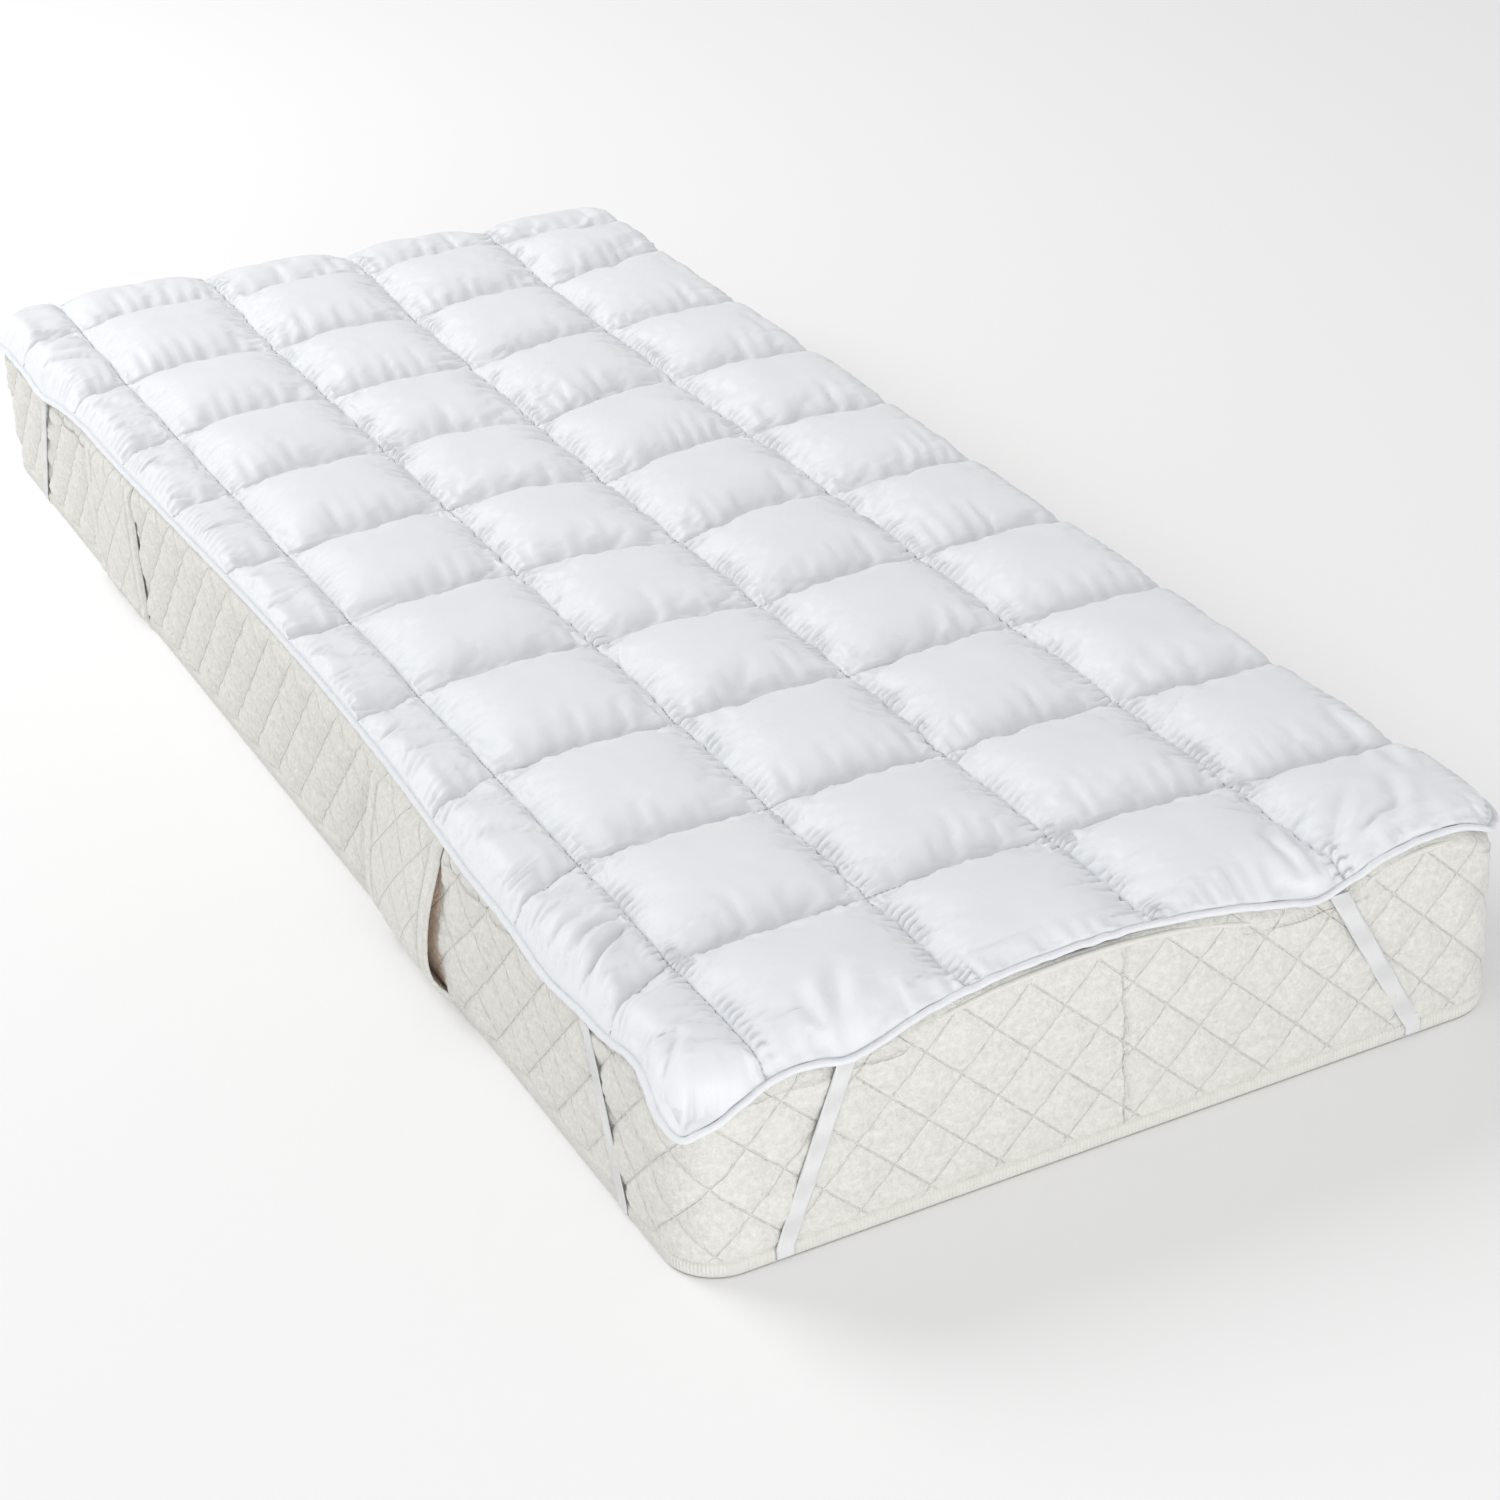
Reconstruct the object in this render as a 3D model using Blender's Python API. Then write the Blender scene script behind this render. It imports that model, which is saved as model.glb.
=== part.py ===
"""Quilted mattress pad on a mattress: one sewn pad with its bound edge, four elastic corner straps that pass
under the mattress, and the mattress with its two carry loops.

Metres, +Z up. The origin is on the floor under the middle of the mattress, +X runs across it and +Y towards
its head end.
"""

import bmesh
import bpy
import numpy as np

# Mattress
WIDTH = 0.800
LENGTH = 1.980
HEIGHT = 0.182
SIDE_INSET = 0.0035
CORNER_R = 0.050
TOP_EDGE_R = 0.022
# At the head end the soft top rolls down: how far in this begins, at the left and at the right side, and the
# most that it falls.
HEAD_ROLL = (0.015, 0.155)
HEAD_FALL = 0.11
HEM_HEIGHT = 0.014
# The side's profile from the underside up to the top edge: how far in from the hem, and the height.
PROFILE_COLUMNS = ("inset", "height")
SIDE_PROFILE = (
    (0.0080, 0.000),
    (0.0000, 0.006),
    (0.0000, HEM_HEIGHT),
    (0.0038, 0.019),
    (0.0030, 0.050),
    (0.0022, 0.095),
)
# The clear gap between two pieces that touch in the real object.
GAP = 0.0003
SHARP_DEGREES = 50
# Distances in from the side at which the mattress's top has its mesh lines.
TOP_LINES = (0.0, 0.0006, 0.0025, 0.006, 0.011, 0.0175, 0.026, 0.037, 0.052, 0.070, 0.092, 0.12, 0.16)
# Where its long sides have theirs, as shares from the foot end's corner to the head end's.
LONG_LINES = (0.08, 0.18, 0.3, 0.42, 0.54, 0.66, 0.76, 0.84, 0.88, 0.91, 0.94, 0.96, 0.98)
SHORT_LINES = (0.1, 0.2, 0.3, 0.4, 0.5, 0.6, 0.7, 0.8, 0.9)
CORNER_STEPS = 7

# Pad
SEAM_THICKNESS = 0.0065
LIP_THICKNESS = 0.005
LIP_HALF_WIDTH = 0.3985
LIP_HALF_LENGTH = LENGTH / 2 - 0.0005
PAD_CORNER_R = 0.040
EDGE_CLEARANCE = 0.0028
HEAD_CLEARANCE = 0.0015
EDGE_MARGIN = 0.012
LIFT_REACH = 0.035
# Widths of the sewn columns from the left edge, the last one reaching the right edge.
COLUMN_WIDTHS = (0.0785, 0.1845, 0.1785, 0.1815)
FOOT_ROW = 0.1735
ROW_PITCH = 0.1865
ROW_SEAMS = 10
# How high the pillows stand, in a whole cell, in the narrow left column and in the row at the head end.
CROWN = 0.0225
NARROW_CROWN = 0.0165
NARROW_CELL = 0.10
HEAD_ROW_CROWN = 0.014
# A pillow's section: the larger the first, the flatter its top, and the smaller the second, the steeper its
# seams.
PILLOW_FLATNESS = 3.0
PILLOW_STEEPNESS = 0.6
# The filling is uneven: how much the crown differs between cells, and how fast it changes with the column and
# the row.
CROWN_VARIETY = 0.07
CROWN_CHANGE = (2.4, 1.7)
# How far in from the edge the cloth moves with it, and how fast the edge's lift dies away.
PULL_REACH = 0.07
LIFT_POWER = 1.5
# Where a cell has its mesh lines, as shares of its width and of its length.
ACROSS_CELL = (0.0, 0.07, 0.2, 0.4, 0.6, 0.8, 0.93)
ALONG_CELL = (0.0, 0.08, 0.25, 0.5, 0.75, 0.92)
# Mesh lines in the outer cells, as distances from the pad's edge.
SIDE_LINES = (0.0, 0.005, 0.012, 0.021, 0.033, 0.050)
END_LINES = (0.0, 0.005, 0.012, 0.021, 0.033, 0.050, 0.068, 0.088)

# How far sewing has drawn the seams off the even grid: middle of the patch, its reach, and the shift.
DRIFT_MARGIN = 0.06
DRIFT_COLUMNS = ("x", "y", "reach_x", "reach_y", "dx", "dy")
SEAM_DRIFTS = (
    (0.043, 0.13, 0.08, 0.42, -0.008, -0.020),
    (-0.230, 0.87, 0.16, 0.14, 0.004, 0.024),
    (-0.135, 0.10, 0.07, 0.30, 0.000, 0.010),
    (0.225, 0.32, 0.08, 0.28, -0.004, 0.010),
    (-0.020, -0.81, 0.16, 0.09, 0.002, 0.010),
    (0.100, 0.88, 0.30, 0.12, 0.010, -0.006),
    (0.400, 0.8625, 0.12, 0.06, 0.000, -0.036),
    (0.400, 0.676, 0.10, 0.07, 0.000, 0.030),
)

# The bound edge along each side, from left to right or from foot to head: the place, the height of the bead's
# middle, and how far the edge lies outside the lip's even rectangle.
EDGE_COLUMNS = ("place", "height", "out")
EDGES = {
    "foot": (
        (-0.3985, 0.1490, 0.008),
        (-0.348, 0.1645, 0.002),
        (-0.317, 0.1755, 0.000),
        (-0.280, 0.1785, 0.000),
        (-0.253, 0.1735, 0.001),
        (-0.225, 0.1775, 0.000),
        (-0.185, 0.1885, -0.003),
        (-0.128, 0.1960, -0.007),
        (-0.062, 0.1990, -0.010),
        (0.011, 0.1990, -0.010),
        (0.084, 0.1940, -0.006),
        (0.153, 0.1835, 0.000),
        (0.198, 0.1745, 0.001),
        (0.224, 0.1815, 0.000),
        (0.264, 0.1920, -0.003),
        (0.304, 0.1960, -0.006),
        (0.354, 0.1930, -0.007),
        (0.3985, 0.1780, -0.004),
    ),
    "left": (
        (-0.9895, 0.1490, 0.008),
        (-0.940, 0.1800, 0.000),
        (-0.860, 0.1720, 0.000),
        (-0.820, 0.1680, 0.000),
        (-0.755, 0.1630, 0.001),
        (-0.670, 0.1740, 0.000),
        (-0.560, 0.1780, -0.001),
        (-0.480, 0.1850, -0.003),
        (0.500, 0.1840, -0.003),
        (0.630, 0.1820, -0.002),
        (0.700, 0.1740, 0.000),
        (0.750, 0.1660, 0.002),
        (0.820, 0.1690, 0.001),
        (0.900, 0.1720, 0.002),
        (0.9895, 0.1680, 0.006),
    ),
    "right": (
        (-0.9895, 0.1780, -0.004),
        (-0.930, 0.1740, 0.009),
        (-0.870, 0.1710, 0.010),
        (-0.810, 0.1690, 0.007),
        (-0.640, 0.1680, 0.002),
        (0.300, 0.1660, 0.002),
        (0.570, 0.1660, 0.002),
        (0.650, 0.1610, 0.002),
        (0.700, 0.1570, 0.003),
        (0.740, 0.1610, 0.006),
        (0.790, 0.1650, 0.010),
        (0.860, 0.1660, 0.017),
        (0.910, 0.1640, 0.014),
        (0.950, 0.1610, 0.004),
        (0.9895, 0.1580, -0.018),
    ),
    "head": (
        (-0.3985, 0.1680, 0.006),
        (-0.340, 0.1740, 0.000),
        (-0.260, 0.1720, 0.000),
        (-0.200, 0.1660, 0.000),
        (-0.110, 0.1620, 0.000),
        (-0.050, 0.1650, 0.000),
        (0.020, 0.1640, -0.002),
        (0.060, 0.1550, -0.004),
        (0.120, 0.1550, -0.006),
        (0.180, 0.1530, -0.009),
        (0.250, 0.1500, -0.013),
        (0.330, 0.1530, -0.016),
        (0.3985, 0.1580, -0.018),
    ),
}

# Binding
BINDING_R = 0.0043
BINDING_SIDES = 6
# The bead's section is a little taller than it is wide.
BINDING_STRETCH = 1.05

# Straps: for each corner, how far from the corner the strap leaves the pad and crosses the mattress's hem,
# first on the short side and then on the long side.
STRAP_COLUMNS = ("short_pad", "short_hem", "long_pad", "long_hem")
STRAPS = {
    ("left", "foot"): (0.148, 0.086, 0.168, 0.124),
    ("right", "foot"): (0.185, 0.100, 0.190, 0.124),
    ("left", "head"): (0.160, 0.095, 0.240, 0.152),
    ("right", "head"): (0.170, 0.095, 0.290, 0.190),
}
STRAP_WIDTH = 0.018
STRAP_THICKNESS = 0.0012
STRAP_LIFT = 0.0005
# The share of its width that a slanting strap keeps across its run at the least.
MOST_SLANT = 0.7
# How far in from the hem a strap turns towards the other side.
STRAP_TURN = 0.010
# How far above the floor, and in from the hem, it bends under the mattress.
STRAP_BEND = 0.0048
# How far a strap presses into the underside, and how far its trough runs past its edge and its end.
TROUGH_DEPTH = 0.0023
TROUGH_SPARE = 0.007
TROUGH_REACH = 0.045
CUTTER_LOW = -0.01

# Carry loops on the left side: where each begins and ends, and how much of the full bow its two edges have.
LOOP_COLUMNS = ("y_start", "y_end", "bow_start", "bow_end")
LOOPS = {"near": (-0.505, -0.335, 1.0, 0.58), "far": (0.420, 0.590, 0.42, 0.36)}
LOOP_BOW = 0.030
LOOP_THICKNESS = 0.006
# The band's slack hangs low: share of the bow at each height, from the top seam to the hem.
BOW_COLUMNS = ("height", "share")
LOOP_BOWS = (
    (0.170, 0.00),
    (0.160, 0.07),
    (0.145, 0.25),
    (0.125, 0.52),
    (0.100, 0.80),
    (0.075, 0.96),
    (0.055, 1.00),
    (0.038, 0.86),
    (0.025, 0.55),
    (0.016, 0.22),
    (0.010, 0.00),
)
LOOP_LINES = 5
# Above the hem the side stands back, over this height and by this much.
LOOP_SEAT_RISE = 0.005
LOOP_SEAT_INSET = 0.0022

SIGN = {"left": -1, "right": 1, "foot": -1, "head": 1}

PAD_COLOUR = (0.90, 0.91, 0.93)
BINDING_COLOUR = (0.86, 0.88, 0.93)
STRAP_COLOUR = (0.80, 0.80, 0.79)
COVER_COLOUR = (0.80, 0.79, 0.74)
CLOTH_ROUGHNESS = 0.7


def clear_scene():
    """Removes whatever the scene holds."""
    for obj in list(bpy.data.objects):
        bpy.data.objects.remove(obj, do_unlink=True)


def cloth(name, colour):
    """A plain cloth material."""
    material = bpy.data.materials.new(name)
    material.use_nodes = True
    shader = material.node_tree.nodes["Principled BSDF"]
    shader.inputs["Base Color"].default_value = (*colour, 1.0)
    shader.inputs["Roughness"].default_value = CLOTH_ROUGHNESS
    shader.inputs["Metallic"].default_value = 0.0
    return material


def add_mesh(name, points, faces, material):
    """A new object with these points and faces, shaded smooth but for sharp edges."""
    mesh = bpy.data.meshes.new(name)
    mesh.from_pydata(np.asarray(points).tolist(), [], [list(map(int, face)) for face in faces])
    mesh.update()
    mesh.shade_smooth()
    mesh.set_sharp_from_angle(angle=np.radians(SHARP_DEGREES))
    obj = bpy.data.objects.new(name, mesh)
    obj.data.materials.append(material)
    bpy.context.scene.collection.objects.link(obj)
    return obj


def named(columns, row):
    """A table's row as a dictionary by column name."""
    return dict(zip(columns, row))


def rounded_distance(x, y, half_x, half_y, radius):
    """How far a plan point lies inside a rounded rectangle, negative outside it."""
    qx = np.abs(x) - (half_x - radius)
    qy = np.abs(y) - (half_y - radius)
    outside = np.hypot(np.maximum(qx, 0), np.maximum(qy, 0))
    return radius - outside - np.minimum(np.maximum(qx, qy), 0)


def head_roll(x, y):
    """How far in from the head end the top begins to roll down at x, and how far along that a point lies."""
    reach = HEAD_ROLL[0] + (HEAD_ROLL[1] - HEAD_ROLL[0]) * np.clip(x / WIDTH + 0.5, 0, 1)
    reach = np.maximum(reach, TOP_EDGE_R)
    return reach, np.clip((y - (LENGTH / 2 - SIDE_INSET - reach)) / reach, 0, 1)


def seat_distance(x, y):
    """How far a plan point lies inside the mattress's side, negative outside it."""
    return rounded_distance(x, y, WIDTH / 2 - SIDE_INSET, LENGTH / 2 - SIDE_INSET, CORNER_R)


def mattress_top(x, y, clear=0.0):
    """Height over a plan point of a surface that lies clear above the mattress's top, which is flat, rounds down
    to its side on a quarter circle, and falls towards the head end on a quarter ellipse."""
    along = np.maximum(TOP_EDGE_R - seat_distance(x, y), 0)
    side = TOP_EDGE_R - np.sqrt(np.maximum((TOP_EDGE_R + clear) ** 2 - along**2, 0))
    reach, roll = head_roll(x, y)
    roll = roll * reach / (reach + clear)
    fall = np.minimum(reach - TOP_EDGE_R, HEAD_FALL)
    return HEIGHT - side - fall * (1 - np.sqrt(1 - roll**2))


def rounded_outline(half_x, half_y, radius):
    """Plan points of a rounded rectangle, anticlockwise from the middle of its right side's far corner."""
    points = []
    corners = ((1, 1, 0), (-1, 1, 90), (-1, -1, 180), (1, -1, 270))
    long_lines = np.array(LONG_LINES)
    shares = (np.array(SHORT_LINES), 1 - long_lines[::-1], np.array(SHORT_LINES), long_lines)
    for number, (sx, sy, start) in enumerate(corners):
        angles = np.radians(start + np.linspace(0, 90, CORNER_STEPS + 1))
        cx = sx * (half_x - radius)
        cy = sy * (half_y - radius)
        arc = np.stack([cx + radius * np.cos(angles), cy + radius * np.sin(angles)], axis=1)
        nx, ny, next_start = corners[(number + 1) % 4]
        first = np.radians(next_start)
        next_centre = np.array([nx * (half_x - radius), ny * (half_y - radius)])
        following = next_centre + radius * np.array([np.cos(first), np.sin(first)])
        points.append(arc)
        points.append(arc[-1] + shares[number][:, None] * (following - arc[-1]))
    return np.concatenate(points)


def ring_faces(rings, count):
    """Four-sided faces between rings of count points each, bottom ring first."""
    faces = []
    for ring in range(rings - 1):
        low = ring * count
        high = low + count
        for i in range(count):
            j = (i + 1) % count
            faces.append((low + i, low + j, high + j, high + i))
    return faces


def make_mattress(material):
    """The mattress: a rounded outline carried up the side's profile and over the top edge, then in to the
    middle."""
    rings = []
    for inset, height in SIDE_PROFILE:
        half_x, half_y = WIDTH / 2 - inset, LENGTH / 2 - inset
        plan = rounded_outline(half_x, half_y, CORNER_R - inset)
        rings.append(np.column_stack([plan, np.full(len(plan), height)]))
    half_x, half_y = WIDTH / 2 - SIDE_INSET, LENGTH / 2 - SIDE_INSET
    outer = rounded_outline(half_x, half_y, CORNER_R)
    for inset in TOP_LINES:
        x = outer[:, 0] * (half_x - inset) / half_x
        y = outer[:, 1] * (half_y - inset) / half_y
        rings.append(np.column_stack([x, y, mattress_top(x, y)]))
    count = len(outer)
    faces = ring_faces(len(rings), count)
    last = (len(rings) - 1) * count
    faces.append(tuple(reversed(range(count))))
    faces.append(tuple(range(last, last + count)))
    points = np.concatenate(rings)
    return add_mesh("mattress", points, faces, material)


def cut_troughs(mattress):
    """Cuts the shallow troughs that the straps press into the mattress's underside."""
    for corner, row in STRAPS.items():
        strap = named(STRAP_COLUMNS, row)
        sx, sy = SIGN[corner[0]], SIGN[corner[1]]
        short = np.array([sx * (WIDTH / 2 - strap["short_hem"]), sy * (LENGTH / 2 - STRAP_TURN)])
        long = np.array([sx * (WIDTH / 2 - STRAP_TURN), sy * (LENGTH / 2 - strap["long_hem"])])
        run = (long - short) / np.linalg.norm(long - short)
        across = np.array([-run[1], run[0]])
        half = STRAP_WIDTH / 2 + TROUGH_SPARE
        ends = [short - run * TROUGH_REACH, long + run * TROUGH_REACH]
        plan = [end - across * half for end in ends] + [end + across * half for end in reversed(ends)]
        points = [(*p, CUTTER_LOW) for p in plan] + [(*p, TROUGH_DEPTH) for p in plan]
        faces = [(3, 2, 1, 0), (4, 5, 6, 7)]
        faces += [(i, (i + 1) % 4, 4 + (i + 1) % 4, 4 + i) for i in range(4)]
        cutter = add_mesh("trough_" + "_".join(corner), points, faces, mattress.data.materials[0])
        cutter.hide_render = True
        cutter.display_type = "WIRE"
        cut = mattress.modifiers.new("trough", "BOOLEAN")
        cut.operation = "DIFFERENCE"
        cut.solver = "EXACT"
        cut.object = cutter


def edge_along(side, place):
    """Height of the bound edge along one side, and how far it lies outside the lip's rectangle."""
    places, heights, outs = np.array(EDGES[side]).T
    return np.interp(place, places, heights), np.interp(place, places, outs)


def edge_field(x, y):
    """The edge's height and outward shift, felt at any plan point: the four sides' values, the nearest weighing
    most."""
    near = 0.01
    weights = []
    heights = []
    outs = []
    for side in EDGES:
        long_side = side in ("left", "right")
        away = LIP_HALF_WIDTH - SIGN[side] * x if long_side else LIP_HALF_LENGTH - SIGN[side] * y
        height, out = edge_along(side, y if long_side else x)
        weights.append((near + np.maximum(away, 0)) ** -4.0)
        heights.append(height)
        outs.append(out)
    weights = np.array(weights)
    weights = weights / weights.sum(axis=0)
    return (weights * heights).sum(axis=0), (weights * outs).sum(axis=0)


def mesh_lines(seams, shares, edge_lines):
    """Mesh lines at the shares of each cell, the outer cells with their own lines near the edge."""
    cells = seams[:-1, None] + np.diff(seams)[:, None] * np.array(shares)[None, :]
    lines = np.append(cells.ravel(), seams[-1])
    edge = np.array(edge_lines)
    spare = edge[-1] + (edge[-1] - edge[-2]) / 2
    inner = lines[(lines > seams[0] + spare) & (lines < seams[-1] - spare)]
    return np.concatenate([seams[0] + edge, inner, seams[-1] - edge[::-1]])


def pad_lines():
    """The pad's seams across and along it with its two edges, and its mesh lines both ways."""
    columns = np.concatenate([[0], np.cumsum(COLUMN_WIDTHS), [2 * LIP_HALF_WIDTH]]) - LIP_HALF_WIDTH
    rows = -LIP_HALF_LENGTH + FOOT_ROW + ROW_PITCH * np.arange(ROW_SEAMS)
    rows = np.concatenate([[-LIP_HALF_LENGTH], rows, [LIP_HALF_LENGTH]])
    across = mesh_lines(columns, ACROSS_CELL, SIDE_LINES)
    along = mesh_lines(rows, ALONG_CELL, END_LINES)
    return columns, rows, across, along


def cell_rise(place, seams):
    """How far a point is up the pillow between its two seams, 0 to 1, the cell's width and its number."""
    cell = np.clip(np.searchsorted(seams, place, side="right") - 1, 0, len(seams) - 2)
    width = np.diff(seams)[cell]
    share = (place - seams[cell]) / width
    rise = np.maximum(1 - np.abs(2 * share - 1) ** PILLOW_FLATNESS, 0) ** PILLOW_STEEPNESS
    return rise, width, cell


def round_corner(x, y):
    """Draws a square corner's points onto a round one: each keeps its direction from the corner's middle."""
    cx = LIP_HALF_WIDTH - PAD_CORNER_R
    cy = LIP_HALF_LENGTH - PAD_CORNER_R
    px = np.maximum(np.abs(x) - cx, 0)
    py = np.maximum(np.abs(y) - cy, 0)
    far = np.hypot(px, py)
    scale = np.where(far > 0, np.maximum(px, py) / np.where(far > 0, far, 1), 1)
    inside = (px > 0) & (py > 0)
    new_x = np.sign(x) * (cx + px * scale)
    new_y = np.sign(y) * (cy + py * scale)
    return np.where(inside, new_x, x), np.where(inside, new_y, y)


def pad_surfaces():
    """The pad's plan points, its underside and its top: the underside lies on the mattress and clears its round
    edge, and the top is the seam's thickness above it plus each cell's pillow."""
    columns, rows, across, along = pad_lines()
    flat_x, flat_y = np.meshgrid(across, along)
    rise_x, width, column = cell_rise(flat_x, columns)
    rise_y, _, row = cell_rise(flat_y, rows)
    crown = np.where(width < NARROW_CELL, NARROW_CROWN, CROWN)
    crown = np.where(row == ROW_SEAMS, HEAD_ROW_CROWN, crown)
    crown = crown * (1 + CROWN_VARIETY * np.sin(CROWN_CHANGE[0] * column + CROWN_CHANGE[1] * row))
    edge_height, out = edge_field(flat_x, flat_y)
    inside = np.minimum(LIP_HALF_WIDTH - np.abs(flat_x), LIP_HALF_LENGTH - np.abs(flat_y))
    x, y = flat_x, flat_y
    for values in SEAM_DRIFTS:
        drift = named(DRIFT_COLUMNS, values)
        far_x = (flat_x - drift["x"]) / drift["reach_x"]
        far_y = (flat_y - drift["y"]) / drift["reach_y"]
        share = np.exp(-(far_x**2) - far_y**2)
        x = x + drift["dx"] * share * np.clip((LIP_HALF_WIDTH - np.abs(flat_x)) / DRIFT_MARGIN, 0, 1)
        y = y + drift["dy"] * share * np.clip((LIP_HALF_LENGTH - np.abs(flat_y)) / DRIFT_MARGIN, 0, 1)
    x, y = round_corner(x, y)
    pull = np.clip(1 - inside / PULL_REACH, 0, 1) ** 2
    toward_x = np.clip(1 - (LIP_HALF_WIDTH - np.abs(flat_x)) / PULL_REACH, 0, 1)
    toward_y = np.clip(1 - (LIP_HALF_LENGTH - np.abs(flat_y)) / PULL_REACH, 0, 1)
    size = np.maximum(np.hypot(toward_x, toward_y), 1e-6)
    x = x + np.sign(flat_x) * out * pull * toward_x / size
    y = y + np.sign(flat_y) * out * pull * toward_y / size
    seat = seat_distance(x, y)
    over_side = np.clip(1 - seat / (TOP_EDGE_R + EDGE_MARGIN), 0, 1) ** 0.5
    reach, _ = head_roll(x, y + EDGE_MARGIN)
    over_head = np.clip((y + EDGE_MARGIN - (LENGTH / 2 - SIDE_INSET - reach)) / EDGE_MARGIN, 0, 1)
    clear = GAP + EDGE_CLEARANCE * over_side + HEAD_CLEARANCE * over_head
    rest = mattress_top(x, y, clear)
    lift = np.maximum(edge_height - LIP_THICKNESS / 2 - rest, 0)
    near_edge = np.clip(1 - inside / LIFT_REACH, 0, 1)
    low = rest + lift * near_edge**LIFT_POWER
    low = np.where(seat < -clear, edge_height - LIP_THICKNESS / 2, low)
    thickness = LIP_THICKNESS + (SEAM_THICKNESS - LIP_THICKNESS) * (1 - near_edge)
    return x, y, low, low + thickness + crown * rise_x * rise_y


def make_pad(material):
    """The quilted pad as one filled solid: its top grid, its underside grid and the lip that joins them."""
    x, y, low, high = pad_surfaces()
    rows, columns = x.shape
    top = np.stack([x, y, high], axis=-1).reshape(-1, 3)
    bottom = np.stack([x, y, low], axis=-1).reshape(-1, 3)
    index = np.arange(rows * columns).reshape(rows, columns)
    a, b, c, d = index[:-1, :-1], index[:-1, 1:], index[1:, 1:], index[1:, :-1]
    quads = np.stack([a, b, c, d], axis=-1).reshape(-1, 4)
    loop = np.concatenate([index[0, :-1], index[:-1, -1], index[-1, :0:-1], index[:0:-1, 0]])
    following = np.roll(loop, -1)
    under = len(top)
    lip = np.stack([loop, loop + under, following + under, following], axis=-1)
    faces = np.concatenate([quads, quads[:, ::-1] + under, lip])
    rim = (top[loop] + bottom[loop]) / 2
    return add_mesh("pad", np.concatenate([top, bottom]), faces, material), rim


def make_binding(rim, material):
    """The binding: a round bead carried along the pad's lip, one clear gap outside it."""
    ahead = np.roll(rim, -1, axis=0) - np.roll(rim, 1, axis=0)
    out = np.stack([ahead[:, 1], -ahead[:, 0]], axis=1)
    out = out / np.linalg.norm(out, axis=1)[:, None]
    turns = np.linspace(0, 2 * np.pi, BINDING_SIDES, endpoint=False) + np.pi / BINDING_SIDES
    radial = GAP + BINDING_R * (1 + np.cos(turns) / BINDING_STRETCH)
    points = np.empty((len(rim), BINDING_SIDES, 3))
    points[:, :, :2] = rim[:, None, :2] + out[:, None, :] * radial[None, :, None]
    points[:, :, 2] = rim[:, None, 2] + (BINDING_R * BINDING_STRETCH * np.sin(turns))[None, :]
    count = len(rim)
    faces = []
    for i in range(count):
        here, following = i * BINDING_SIDES, (i + 1) % count * BINDING_SIDES
        for k in range(BINDING_SIDES):
            m = (k + 1) % BINDING_SIDES
            faces.append([here + k, following + k, following + m, here + m])
    return add_mesh("pad_binding", points.reshape(-1, 3), faces, material)


def strap_run(side, place_pad, place_hem):
    """Middle line of one standing end of a strap, from under the binding to below the hem: place along the
    side, distance outside the hem and height."""
    half = LIP_HALF_LENGTH if side in ("foot", "head") else LIP_HALF_WIDTH
    full = LENGTH / 2 if side in ("foot", "head") else WIDTH / 2
    # The strap's two corners both stay below the sloping bead.
    heights, outs = edge_along(side, place_pad + STRAP_WIDTH * np.array([-0.6, 0.0, 0.6]))
    top = heights.min() - BINDING_R * BINDING_STRETCH - 2 * GAP - STRAP_THICKNESS / 2
    on_hem = STRAP_THICKNESS / 2 + GAP
    top_out = max(half + outs[1] + BINDING_R + GAP - full, on_hem)
    halfway = (place_pad + place_hem) / 2
    under = STRAP_LIFT + STRAP_THICKNESS / 2
    return np.array(
        [
            (place_pad, top_out, top),
            (halfway, (top_out + on_hem) / 2, (top + HEM_HEIGHT) / 2),
            (place_hem, on_hem, HEM_HEIGHT),
            (place_hem, on_hem, STRAP_BEND),
            (place_hem, -STRAP_BEND, under),
            (place_hem, -STRAP_TURN, under),
        ]
    )


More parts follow.
